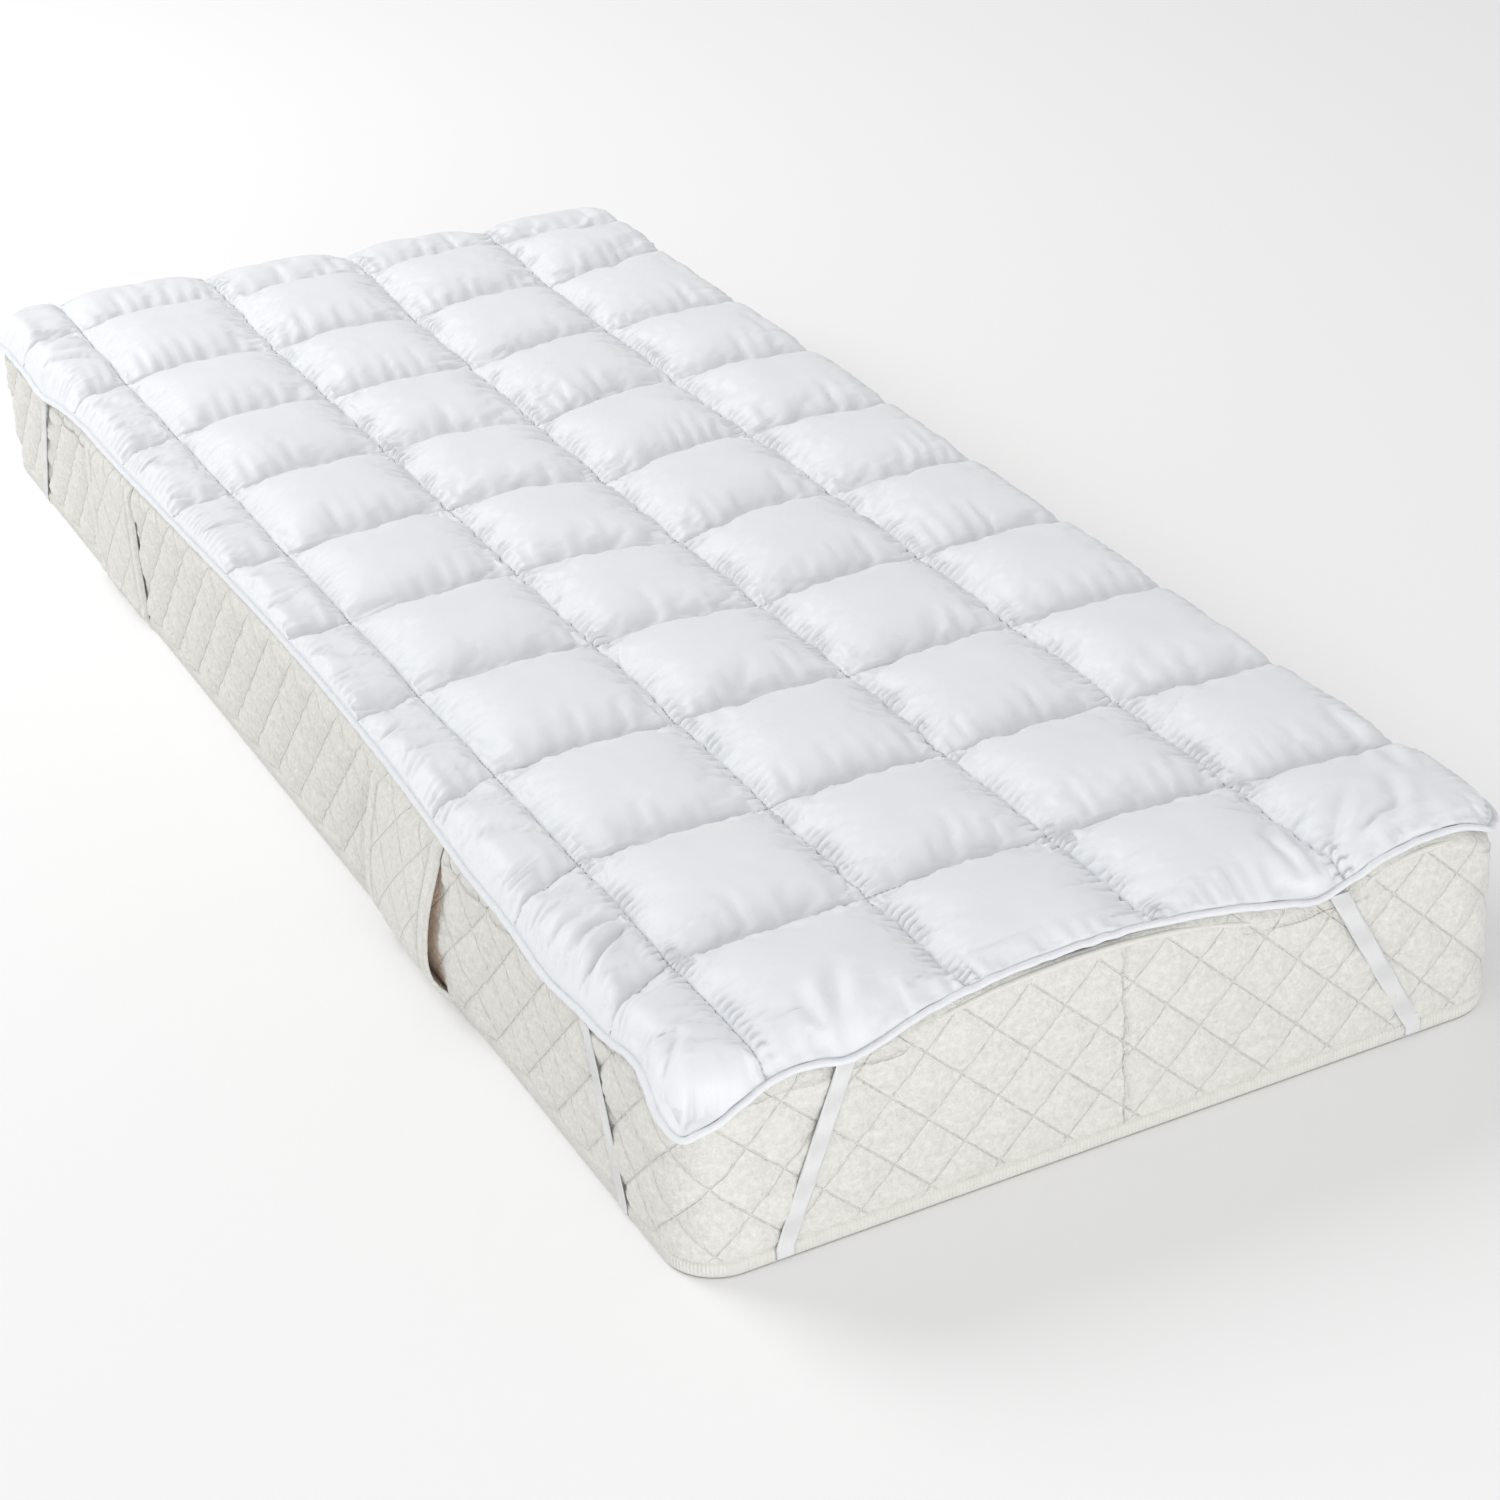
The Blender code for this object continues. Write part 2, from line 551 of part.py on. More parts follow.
def make_strap(corner, material):
    """One elastic strap: down the short side, under the mattress's corner and up the long side, as a flat strip
    whose width stays along the edge that it crosses."""
    strap = named(STRAP_COLUMNS, STRAPS[corner])
    sx, sy = SIGN[corner[0]], SIGN[corner[1]]
    half_x = WIDTH / 2
    half_y = LENGTH / 2
    short = strap_run(corner[1], sx * (half_x - strap["short_pad"]), sx * (half_x - strap["short_hem"]))
    long = strap_run(corner[0], sy * (half_y - strap["long_pad"]), sy * (half_y - strap["long_hem"]))
    on_short = np.column_stack([short[:, 0], sy * (half_y + short[:, 1]), short[:, 2]])
    on_long = np.column_stack([sx * (half_x + long[:, 1]), long[:, 0], long[:, 2]])
    centre = np.concatenate([on_short, on_long[::-1]])
    inward = np.repeat([(-sx, 0, 0), (0, -sy, 0)], [len(short), len(long)], axis=0)
    ahead = np.gradient(centre, axis=0)
    face = np.cross(ahead, inward)
    face = face / np.linalg.norm(face, axis=1)[:, None]
    # The strip is widest where it slants, so that its own width stays the same.
    slant = np.cross(ahead / np.linalg.norm(ahead, axis=1)[:, None], inward)
    half = STRAP_WIDTH / 2 / np.maximum(np.linalg.norm(slant, axis=1), MOST_SLANT)
    side = inward * half[:, None]
    thick = face * STRAP_THICKNESS / 2
    corners = (side + thick, thick - side, -side - thick, side - thick)
    ring = np.stack([centre + offset for offset in corners], axis=1)
    count = len(centre)
    faces = [(0, 1, 2, 3), tuple(4 * (count - 1) + k for k in (3, 2, 1, 0))]
    for i in range(0, 4 * (count - 1), 4):
        faces += [(i + k, i + 4 + k, i + 4 + (k + 1) % 4, i + (k + 1) % 4) for k in range(4)]
    obj = add_mesh("strap_" + "_".join(corner), ring.reshape(-1, 3), faces, material)
    return face_outwards(obj)


def face_outwards(obj):
    """Turns a closed mesh's faces outwards."""
    work = bmesh.new()
    work.from_mesh(obj.data)
    bmesh.ops.recalc_face_normals(work, faces=work.faces)
    work.to_mesh(obj.data)
    work.free()
    return obj


def make_loop(name, material):
    """One carry loop: a slack band of the cover, sewn at its top and at the hem and bowed out between."""
    loop = named(LOOP_COLUMNS, LOOPS[name])
    heights, shares = np.array(LOOP_BOWS).T
    share_along = np.linspace(0, 1, LOOP_LINES)
    y = loop["y_start"] + (loop["y_end"] - loop["y_start"]) * share_along
    bow = LOOP_BOW * (loop["bow_start"] + (loop["bow_end"] - loop["bow_start"]) * share_along)
    # The face that the band is sewn to: the side, and the hem that stands proud of it.
    seat = WIDTH / 2 - LOOP_SEAT_INSET * np.clip((heights - HEM_HEIGHT) / LOOP_SEAT_RISE, 0, 1)
    inner = seat[:, None] + GAP + bow[None, :] * shares[:, None]
    slope = np.gradient(inner, heights, axis=0)
    size = np.sqrt(1 + slope**2)
    outer = inner + LOOP_THICKNESS / size
    outer_z = heights[:, None] - LOOP_THICKNESS * slope / size
    outer_z[0] = heights[0]
    outer_z[-1] = heights[-1]
    grid_y = np.tile(y, (len(heights), 1))
    near = np.stack([-inner, grid_y, np.tile(heights[:, None], (1, LOOP_LINES))], axis=-1).reshape(-1, 3)
    far = np.stack([-outer, grid_y, outer_z], axis=-1).reshape(-1, 3)
    index = np.arange(len(near)).reshape(len(heights), LOOP_LINES)
    a, b, c, d = index[:-1, :-1], index[:-1, 1:], index[1:, 1:], index[1:, :-1]
    quads = np.stack([a, b, c, d], axis=-1).reshape(-1, 4)
    border = np.concatenate([index[0, :-1], index[:-1, -1], index[-1, :0:-1], index[:0:-1, 0]])
    following = np.roll(border, -1)
    under = len(near)
    sides = np.stack([border, border + under, following + under, following], axis=-1)
    faces = np.concatenate([quads, quads[:, ::-1] + under, sides])
    return face_outwards(add_mesh("loop_" + name, np.concatenate([near, far]), faces, material))


def main():
    """Builds the nine pieces."""
    clear_scene()
    cover = cloth("cover_knit", COVER_COLOUR)
    strap = cloth("elastic", STRAP_COLOUR)
    mattress = make_mattress(cover)
    cut_troughs(mattress)
    _, rim = make_pad(cloth("pad_cloth", PAD_COLOUR))
    make_binding(rim, cloth("binding_tape", BINDING_COLOUR))
    for corner in STRAPS:
        make_strap(corner, strap)
    for name in LOOPS:
        make_loop(name, cover)


main()
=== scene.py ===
"""Quilted mattress pad on a mattress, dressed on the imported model.

The pad is a fine numpy grid: seams on the mattress, a pillow in each cell, puckers along the seams and a few
large creases. Blender's Cloth then swells a coarser copy of it, and that movement is added to the fine grid.
"""

import bpy
import numpy as np
from mathutils import Matrix


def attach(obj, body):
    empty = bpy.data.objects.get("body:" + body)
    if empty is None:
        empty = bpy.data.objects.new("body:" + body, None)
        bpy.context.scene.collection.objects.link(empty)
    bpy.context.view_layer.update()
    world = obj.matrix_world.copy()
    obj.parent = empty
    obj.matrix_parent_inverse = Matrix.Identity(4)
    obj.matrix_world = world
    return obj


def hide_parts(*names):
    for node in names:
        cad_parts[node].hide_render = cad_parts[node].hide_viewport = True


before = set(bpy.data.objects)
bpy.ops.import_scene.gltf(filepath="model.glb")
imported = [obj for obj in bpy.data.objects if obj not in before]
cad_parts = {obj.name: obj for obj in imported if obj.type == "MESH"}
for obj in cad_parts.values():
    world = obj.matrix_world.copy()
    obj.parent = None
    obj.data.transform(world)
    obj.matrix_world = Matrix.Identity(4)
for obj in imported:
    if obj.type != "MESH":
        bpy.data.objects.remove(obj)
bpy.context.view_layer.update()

# Camera, fitted to the photograph
LENS = 79.23
SENSOR = 36.0
EYE = (-1.21022, -2.92412, 1.62873)
CAMERA_ROWS = (
    (0.89222584, -0.44777739, -0.05855311),
    (-0.26078776, -0.40504644, -0.87631451),
    (0.3686771, 0.79714038, -0.47816776),
)

# Mattress, in metres
WIDTH = 0.800
LENGTH = 1.980
HEIGHT = 0.182
SIDE_INSET = 0.0035
CORNER_R = 0.050
TOP_EDGE_R = 0.022
HEAD_ROLL = (0.015, 0.155)
HEAD_FALL = 0.11
HEM_HEIGHT = 0.014
# The cover's top edge is small and raised where the pad stands this far off it.
COVER_EDGE_R = 0.006
EDGE_RAISE = 0.0125
FULL_LIFT = 0.0145
PIPING_HALF_LENGTH = 0.345
PIPING_R = 0.0026
PIPING_RISE = 0.0045
PIPING_SETBACK = 0.002
PIPING_TAPER = 0.02
# The piping's unevenness and its pitch, and the edge's rise where the piping is full and its least share.
PIPING_UNEVEN = (0.08, 0.012)
PIPING_THINS = (0.003, 0.15)
PIPING_POINTS = 420
PIPING_SIDES = 10
BORDER_SEAM_X = 0.006
JOINT_RISE = 0.0016
JOINT_DEPTH = 0.0030
JOINT_REACH = 0.0026
GAP = 0.0003
TINY = 1e-6

# The border's mesh and its quilting share one step, so that the sewn lines pass through its points.
BORDER_POINTS = 1510
BORDER_LENGTH = 2 * (WIDTH + LENGTH - 4 * CORNER_R) + 2 * np.pi * (CORNER_R - SIDE_INSET)
QUILT_STEP = BORDER_LENGTH / BORDER_POINTS
QUILT_ROWS = 44
EDGE_ROWS = 6
TOP_TURNS = (15, 30, 45, 60, 75, 90)
# Rings on the top within its edge: how far in, and what share of the edge's rise is left.
TOP_RINGS = ((0.016, 0.75), (0.024, 0.4), (0.034, 0.1))
DIAMOND = 18 * QUILT_STEP
DIAMOND_RISE = 0.0052
# A pillow's outline: how soft its sewn line is, and how full it is.
DIAMOND_SOFT = 0.002
DIAMOND_FULL = 0.62
# How far from the hem, from the pad's edge and from the piping the quilting reaches its full rise, and
# how far below the pad's edge it ends.
HEM_FADE = 0.005
PAD_FADE = 0.010
PAD_CLEAR = 0.003
PIPING_FADE = 0.008
# The lines show fully where the quilting has a third of its rise.
QUILT_SHOWN = 3
# The quilting lies flat behind a carry loop: by what share, and how far the change reaches.
LOOP_FLATTENS = 0.85
LOOP_FADE = 0.006
# Soft hollows in the side: depth and pitch.
HOLLOW = (0.0012, 0.11)
SIDE_RELIEF = 0.0006
BOTTOM_ROUND = (0.004, 0.7)
# The underside: two rings, each with its shares across and along, and its height.
UNDERSIDE = ((0.985, 0.993, 0.0), (0.98, 0.991, 0.0023))
# A beige tone painted on the side in the near loop's mouth, for the shade in its slit: how far short of
# # the loop's far end it stops, and its heights.
PAINTED_SLIT_STOP = 0.03
PAINTED_SLIT_HEIGHTS = (0.010, 0.156)
# Where two quilting lines cross on the foot side: x + z and x - z.
DIAMOND_START = (BORDER_SEAM_X - 27 * QUILT_STEP, BORDER_SEAM_X - 93 * QUILT_STEP)
# The left side bulges beside the near loop's mouth: where, how far along and up, and how much.
BULGE_PLACE = (-0.465, 0.066)
BULGE_REACH = (0.105, 0.058)
BULGE = 0.0145

# Pad
SEAM_THICKNESS = 0.0065
LIP_THICKNESS = 0.005
LIP_HALF_WIDTH = 0.3985
LIP_HALF_LENGTH = LENGTH / 2 - 0.0005
PAD_CORNER_R = 0.040
EDGE_CLEARANCE = 0.0028
HEAD_CLEARANCE = 0.0015
EDGE_MARGIN = 0.012
# Each side of the pad weighs in the edge's height by its distance and this more, to this power.
SIDE_NEAR = 0.01
SIDE_POWER = 4.0
LIFT_REACH = 0.035
LIFT_CURVE = 1.5
COLUMN_WIDTHS = (0.0785, 0.1845, 0.1785, 0.1815)
FOOT_ROW = 0.1735
ROW_PITCH = 0.1865
ROW_SEAMS = 10
CROWN = 0.0215
# The pillows at the foot are flatter, over this many rows.
FLAT_SHARE = 0.16
FLAT_ROWS = 3.0
NARROW_CROWN = 0.0160
HEAD_ROW_CROWN = 0.014
NARROW_CELL = 0.10
# Mesh lines lie closest beside a seam: their pitch there and in a cell's middle, and the first one's reach.
FINE_STEP = 0.0016
WIDE_STEP = 0.0045
FINE_REACH = 0.013
# The pitch of the lines that run across the pad.
ROW_STEP = 0.0021
SIM_STRIDE = 2
UNDER_STRIDE = 7

# The pillow's outline across a cell: 1 less the distance from its middle to a power, all to a power.
PILLOW_FLAT = 3.0
PILLOW_FULL = 0.6
# The cells' crowns differ by a share that turns with the column and with the row.
CROWN_VARIES = (0.07, 2.4, 1.7)
# How far in from the pad's edge its outline is drawn out and its seams are held.
OUTLINE_REACH = 0.07
HELD_MARGIN = 0.05
# How the seams wander across and along the pad: amount and pitch, long waves and then short ones.
WANDERS = ((0.0014, 0.09), (0.0009, 0.08), (0.0022, 0.0080), (0.0005, 0.0075))
# The short waves across are weaker left of here, growing over a reach, and never less than a share.
WANDER_GROWS = (-0.25, 0.1, 0.2)
# Soft dents in the pillows: depth and pitch, large and small, and how narrow the small ones are along x.
DENTS = ((0.0012, 0.055), (0.0003, 0.021))
DENT_STRETCH = 1.6

DRIFT_MARGIN = 0.06
DRIFT_COLUMNS = ("x", "y", "reach_x", "reach_y", "dx", "dy")
SEAM_DRIFTS = (
    (0.043, 0.13, 0.08, 0.42, -0.008, -0.020),
    (-0.230, 0.87, 0.16, 0.14, 0.004, 0.024),
    (-0.135, 0.10, 0.07, 0.30, 0.000, 0.010),
    (0.225, 0.32, 0.08, 0.28, -0.004, 0.010),
    (-0.020, -0.81, 0.16, 0.09, 0.002, 0.010),
    (0.100, 0.88, 0.30, 0.12, 0.010, -0.006),
    (0.400, 0.8625, 0.12, 0.06, 0.000, -0.036),
    (0.400, 0.676, 0.10, 0.07, 0.000, 0.030),
)

# How far the row seams slant towards the foot, from the outer column seams to the pad's long edges.
SLANTS = {
    "left": (
        (-0.9895, 0.000),
        (-0.816, -0.050),
        (-0.630, -0.042),
        (-0.443, -0.038),
        (-0.257, -0.030),
        (-0.070, -0.022),
        (0.863, -0.020),
        (0.9895, 0.000),
    ),
    "right": (
        (-0.9895, 0.000),
        (-0.816, -0.018),
        (-0.443, -0.012),
        (0.303, -0.010),
        (0.600, 0.000),
        (0.9895, 0.000),
    ),
}

# The bound edge along each side: the place, the height of the bead's middle, and how far it lies outside
# the lip's even rectangle.
EDGES = {
    "foot": (
        (-0.3985, 0.1450, 0.008),
        (-0.375, 0.1510, 0.004),
        (-0.348, 0.1640, 0.002),
        (-0.317, 0.1755, 0.000),
        (-0.280, 0.1785, 0.000),
        (-0.253, 0.1735, 0.001),
        (-0.225, 0.1775, 0.000),
        (-0.185, 0.1885, -0.003),
        (-0.128, 0.1960, -0.007),
        (-0.062, 0.1990, -0.010),
        (0.011, 0.1990, -0.010),
        (0.084, 0.1940, -0.006),
        (0.153, 0.1835, 0.000),
        (0.198, 0.1745, 0.001),
        (0.224, 0.1815, 0.000),
        (0.264, 0.1920, -0.003),
        (0.304, 0.1960, -0.006),
        (0.354, 0.1930, -0.007),
        (0.3985, 0.1780, -0.004),
    ),
    "left": (
        (-0.9895, 0.1450, 0.008),
        (-0.972, 0.1500, 0.006),
        (-0.940, 0.1750, 0.001),
        (-0.860, 0.1720, 0.000),
        (-0.820, 0.1680, 0.000),
        (-0.755, 0.1630, 0.001),
        (-0.670, 0.1740, 0.000),
        (-0.560, 0.1780, -0.001),
        (-0.480, 0.1850, -0.003),
        (0.500, 0.1840, -0.003),
        (0.630, 0.1820, -0.002),
        (0.700, 0.1740, 0.000),
        (0.750, 0.1660, 0.002),
        (0.820, 0.1690, 0.001),
        (0.900, 0.1720, 0.002),
        (0.9895, 0.1680, 0.006),
    ),
    "right": (
        (-0.9895, 0.1780, -0.004),
        (-0.930, 0.1740, 0.009),
        (-0.870, 0.1710, 0.010),
        (-0.810, 0.1690, 0.007),
        (-0.640, 0.1680, 0.002),
        (0.300, 0.1660, 0.002),
        (0.570, 0.1660, 0.002),
        (0.650, 0.1610, 0.002),
        (0.700, 0.1570, 0.003),
        (0.740, 0.1610, 0.006),
        (0.790, 0.1650, 0.010),
        (0.860, 0.1660, 0.017),
        (0.910, 0.1640, 0.014),
        (0.950, 0.1610, 0.004),
        (0.9895, 0.1580, -0.018),
    ),
    "head": (
        (-0.3985, 0.1680, 0.006),
        (-0.340, 0.1740, 0.000),
        (-0.260, 0.1720, 0.000),
        (-0.200, 0.1660, 0.000),
        (-0.110, 0.1620, 0.000),
        (-0.050, 0.1650, 0.000),
        (0.020, 0.1640, -0.002),
        (0.060, 0.1550, -0.004),
        (0.120, 0.1550, -0.006),
        (0.180, 0.1530, -0.009),
        (0.250, 0.1500, -0.013),
        (0.330, 0.1530, -0.016),
        (0.3985, 0.1580, -0.018),
    ),
}

# Puckers that the sewing gathers along a seam: which seams, which side of it, the pitch along it, how
# far from the seam they are strongest, and their height.
PUCKERS = (
    ("column", 1, 0.0100, 0.0046, 0.0062),
    ("column", -1, 0.0105, 0.0038, 0.0054),
    ("row", 1, 0.0210, 0.0140, 0.0019),
    ("row", -1, 0.0120, 0.0055, 0.0018),
)
# A gather's wave: how uneven its pitch is and how it bends away from the seam, each with its own pitch
# in waves, how its strength changes along the seam, its crests' sharpness and its valleys' depth.
RIDGE_PHASE = ((0.9, 5), (10, 3))
RIDGE_STRENGTH = (0.55, (0.75, 2.3), (0.35, 9), 1.3)
RIDGE_SHAPE = (1.3, 0.35)
# The first column seam is sewn over flatter filling and gathers less.
FIRST_SEAM_SHARE = 0.45
# Near the foot it gathers as much as the others, from this place on and over this reach.
FIRST_SEAM_GATHERED = (-0.52, 0.16)
EDGE_PUCKER_PITCH = 0.0125
EDGE_PUCKER_REACH = 0.008
EDGE_PUCKER_HEIGHT = 0.0031
# How far from a crossing and from a corner the puckers reach their full height.
CROSSING_FADE = 0.0006
CORNER_FADE = 0.04

# Large creases: where each starts, bends and ends on the pad, its half width and its depth.
CREASE_COLUMNS = ("x0", "y0", "x1", "y1", "x2", "y2", "width", "depth")
CREASES = (
    (-0.330, -0.758, -0.368, -0.786, -0.400, -0.818, 0.0036, 0.0125),
    (-0.328, -0.742, -0.356, -0.744, -0.384, -0.772, 0.0050, 0.0030),
    (-0.330, -0.800, -0.350, -0.806, -0.372, -0.836, 0.0050, 0.0022),
    (-0.398, -0.960, -0.385, -0.953, -0.368, -0.934, 0.0040, 0.0090),
    (-0.252, -0.985, -0.238, -0.950, -0.222, -0.925, 0.0060, 0.0070),
    (-0.268, -0.985, -0.262, -0.960, -0.262, -0.940, 0.0045, 0.0045),
    (0.214, -0.985, 0.236, -0.945, 0.285, -0.905, 0.0060, 0.0085),
    (0.222, -0.982, 0.262, -0.955, 0.312, -0.940, 0.0048, 0.0072),
    (0.206, -0.985, 0.208, -0.950, 0.226, -0.905, 0.0048, 0.0066),
    (0.226, -0.980, 0.290, -0.968, 0.335, -0.965, 0.0045, 0.0048),
    (0.190, -0.985, 0.184, -0.960, 0.186, -0.925, 0.0042, 0.0045),
    (0.395, -0.815, 0.362, -0.850, 0.348, -0.900, 0.0058, 0.0066),
    (0.395, -0.835, 0.375, -0.870, 0.368, -0.905, 0.0045, 0.0045),
    (0.330, -0.900, 0.318, -0.935, 0.290, -0.965, 0.0050, 0.0048),
    (-0.385, 0.780, -0.330, 0.805, -0.290, 0.790, 0.0060, 0.0045),
    (-0.385, 0.800, -0.350, 0.850, -0.322, 0.865, 0.0055, 0.0040),
    (-0.385, 0.770, -0.345, 0.765, -0.318, 0.740, 0.0050, 0.0035),
    (-0.395, -0.740, -0.365, -0.735, -0.340, -0.715, 0.0055, 0.0040),
    (0.385, 0.840, 0.345, 0.815, 0.320, 0.800, 0.0065, 0.0045),
    (0.392, 0.735, 0.365, 0.735, 0.335, 0.715, 0.0055, 0.0040),
)

CREASE_WIDTH = 1.35
CREASE_DEPTH = 0.75
CREASE_STEPS = 25
# What share of a crease is left at its tips, and how fast it fades there.
CREASE_TIP = 0.04
CREASE_FADE = 0.6
# How many half widths a crease can be felt, and its low roll: height, distance and half width.
CREASE_REACH = 5
CREASE_ROLL = (0.55, 2.1, 1.1)
# How far from a seam the dents and creases reach their full depth, and the creases from the pad's edge.
CALM_REACH = 0.02
CREASE_END = 0.007

CLOTH_FRAMES = 20
CLOTH_PRESSURE = 2.2
CLOTH_GROWTH = -0.035
CLOTH_CAP = 0.008

BINDING_R = 0.0034
# How much of the bead's half width stands outside the lip, which it is sewn round.
BINDING_STAND = 0.75
BINDING_GROOVE = 0.08
BINDING_SIDES = 12
BINDING_STEP = 0.0026
BINDING_STRETCH = 0.92
# The bead is uneven: two waves of its radius and one of its level, each with its amount and pitch.
BINDING_WAVES = ((0.07, 0.007), (0.05, 0.03))
BINDING_LEVEL = (0.0007, 0.012)
# The sewn groove on the bead's upper inner side: its direction and half width.
GROOVE_TURN = (np.radians(125), 0.22)

STRAP_COLUMNS = ("short_pad", "short_hem", "long_pad", "long_hem")
STRAPS = {
    ("left", "foot"): (0.148, 0.086, 0.168, 0.124),
    ("right", "foot"): (0.185, 0.100, 0.190, 0.124),
    ("left", "head"): (0.160, 0.095, 0.240, 0.152),
    ("right", "head"): (0.170, 0.095, 0.290, 0.190),
}
STRAP_WIDTH = 0.017
STRAP_THICKNESS = 0.0012
STRAP_LIFT = 0.0005
STRAP_TURN = 0.010
# Where the band turns in under the hem: height, and how far in it is level.
STRAP_BEND = 0.0048
STRAP_BEND_IN = 0.004
# How far to each side the bead's height is read, in band widths, and how far the band's end lies below.
STRAP_SPAN = 0.6
STRAP_TUCK = 0.001
# The band keeps its width across a slant, down to this share, and its section thins towards its edges.
STRAP_LEAST_SLANT = 0.7
STRAP_SECTION = (1.05, 6, 0.05)
STRAP_STEPS = 90
STRAP_LINES = 9

# Each carry loop: its two ends along the side, and what share of the full bow it has at each.
LOOPS = {"near": (-0.505, -0.335, 0.84, 0.55), "far": (0.420, 0.590, 0.05, 0.12)}
LOOP_BOW = 0.030
LOOP_THICKNESS = 0.006
LOOP_HEM = 0.019
LOOP_LINES = 81
LOOP_ROWS = 75
# The loop's inner face lies on the side, which stands back from the hem above these heights.
LOOP_SEAT = ((HEM_HEIGHT, 0.0), (0.019, 0.0022), (0.05, 0.0022))
# Its thickness: the quilting's rise, the hem's fullness, the groove between them, and the reach of each.
LOOP_QUILT = (0.0022, 0.004)
LOOP_FULL = (0.0008, 0.002)
LOOP_GROOVE = (0.0020, 0.0016)
LOOP_EDGE_R = 0.003
LOOP_EDGE_THIN = 0.35
LOOP_TOP_FADE = 0.014
LOOP_TOP_THIN = 0.15
# The most that the smooth curve through the bows may reach.
LOOP_MOST = 1.05
LOOP_BOWS = (
    (0.176, 0.00),
    (0.160, 0.07),
    (0.145, 0.25),
    (0.125, 0.52),
    (0.100, 0.80),
    (0.075, 0.96),
    (0.055, 1.00),
    (0.038, 0.86),
    (0.025, 0.55),
    (0.016, 0.22),
    (0.010, 0.00),
)

STITCH_LENGTH = 0.0042
STITCH_PITCH = 0.0062
STITCH_R = 0.00045
COLUMN_SLANT = 0.0011
STITCH_START = 0.12
ROW_STITCH_LIFT = 0.0004
COLUMN_STITCH_LIFT = 0.0009
# The bar of a stitch: four sections, each with its share of the way, its lift and its size in radii.
STITCH_SECTIONS = ((0.0, -0.6, 0.5), (0.25, 0.4, 1.0), (0.75, 0.4, 1.0), (1.0, -0.6, 0.5))
STITCH_TURNS = (45, 135, 225, 315)

RIB_PITCH = 0.0034
RIB_RISE = 0.0013
POINTS_PER_RIB = 4
# The hem's profile: height, how far it stands outside the full outline, and how strong the ribs are.
HEM_PROFILE = (
    (0.0006, -0.0030, 0.0),
    (0.0030, -0.0010, 0.6),
    (0.0070, -0.0003, 1.0),
    (0.0110, -0.0003, 1.0),
    (0.0140, -0.0012, 0.7),
    (0.0152, -0.0032, 0.0),
)

# A beige tone painted in the near loop's mouth for the shade in its slit, and the painted shade in the
# # quilting's lines.
PAINTED_SLIT_SHADE = (0.98, 0.80, 0.66)
PAINTED_LINE_SHADE = (0.775, 0.765, 0.725)
SHEEN_ROUGHNESS = 0.5
LINE_WIDTH = 0.0017
LINE_DEPTH = 0.0009
JOINT_WIDENING = 1.2

# Noise tables: how long they are, and where zero lies in them.
LINE_NOISE = 4096
LINE_ZERO = 1000
PLANE_NOISE = 256
PLANE_ZERO = 500

FLOOR_REACH = 30.0
FLOOR_LEVEL = -0.0005
WORLD_STRENGTH = 0.63
# The soft lamps: place, what each is aimed at, size and power.
LAMPS = {
    "window": ((-2.3, 3.0, 3.3), (0.0, 0.1, 0.1), 3.0, 112.0),
    "front_fill": ((-0.9, -4.6, 0.9), (0.0, -0.4, 0.1), 2.0, 60.0),
}

SIGN = {"left": -1, "right": 1, "foot": -1, "head": 1}
RANDOM = np.random.default_rng(11)


def noise_cell(place, pitch, zero):
    """The number of the table's row below each place, and the share of the next, on a cosine step."""
    at = np.asarray(place) / pitch + zero
    low = np.floor(at).astype(int)
    return low, 0.5 - 0.5 * np.cos(np.pi * (at - low))


def value_noise(places, pitch):
    """Smooth noise along a line, -1 to 1: random numbers a pitch apart, joined by cosine steps."""
    table = RANDOM.uniform(-1, 1, LINE_NOISE)
    low, share = noise_cell(places, pitch, LINE_ZERO)
    return table[low % LINE_NOISE] * (1 - share) + table[(low + 1) % LINE_NOISE] * share


def surface_noise(x, y, pitch):
    """Smooth noise over a plane, -1 to 1: a random grid a pitch apart, joined by cosine steps."""
    table = RANDOM.uniform(-1, 1, (PLANE_NOISE, PLANE_NOISE))
    low_x, share_x = noise_cell(x, pitch, PLANE_ZERO)
    low_y, share_y = noise_cell(y, pitch, PLANE_ZERO)
    rows = []
    for across in (low_y % PLANE_NOISE, (low_y + 1) % PLANE_NOISE):
        first = table[low_x % PLANE_NOISE, across]
        second = table[(low_x + 1) % PLANE_NOISE, across]
        rows.append(first * (1 - share_x) + second * share_x)
    return rows[0] * (1 - share_y) + rows[1] * share_y


def smooth_interp(place, places, values):
    """Reads a table along a smooth curve: a cubic through its rows with the slopes of its neighbours,
    level at both ends."""
    slopes = np.gradient(values, places)
    slopes[[0, -1]] = 0
    row = np.clip(np.searchsorted(places, place) - 1, 0, len(places) - 2)
    step = places[row + 1] - places[row]
    t = np.clip((place - places[row]) / step, 0, 1)
    start = (1 + 2 * t) * (1 - t) ** 2 * values[row] + t * (1 - t) ** 2 * step * slopes[row]
    end = t * t * (3 - 2 * t) * values[row + 1] + t * t * (t - 1) * step * slopes[row + 1]
    return start + end


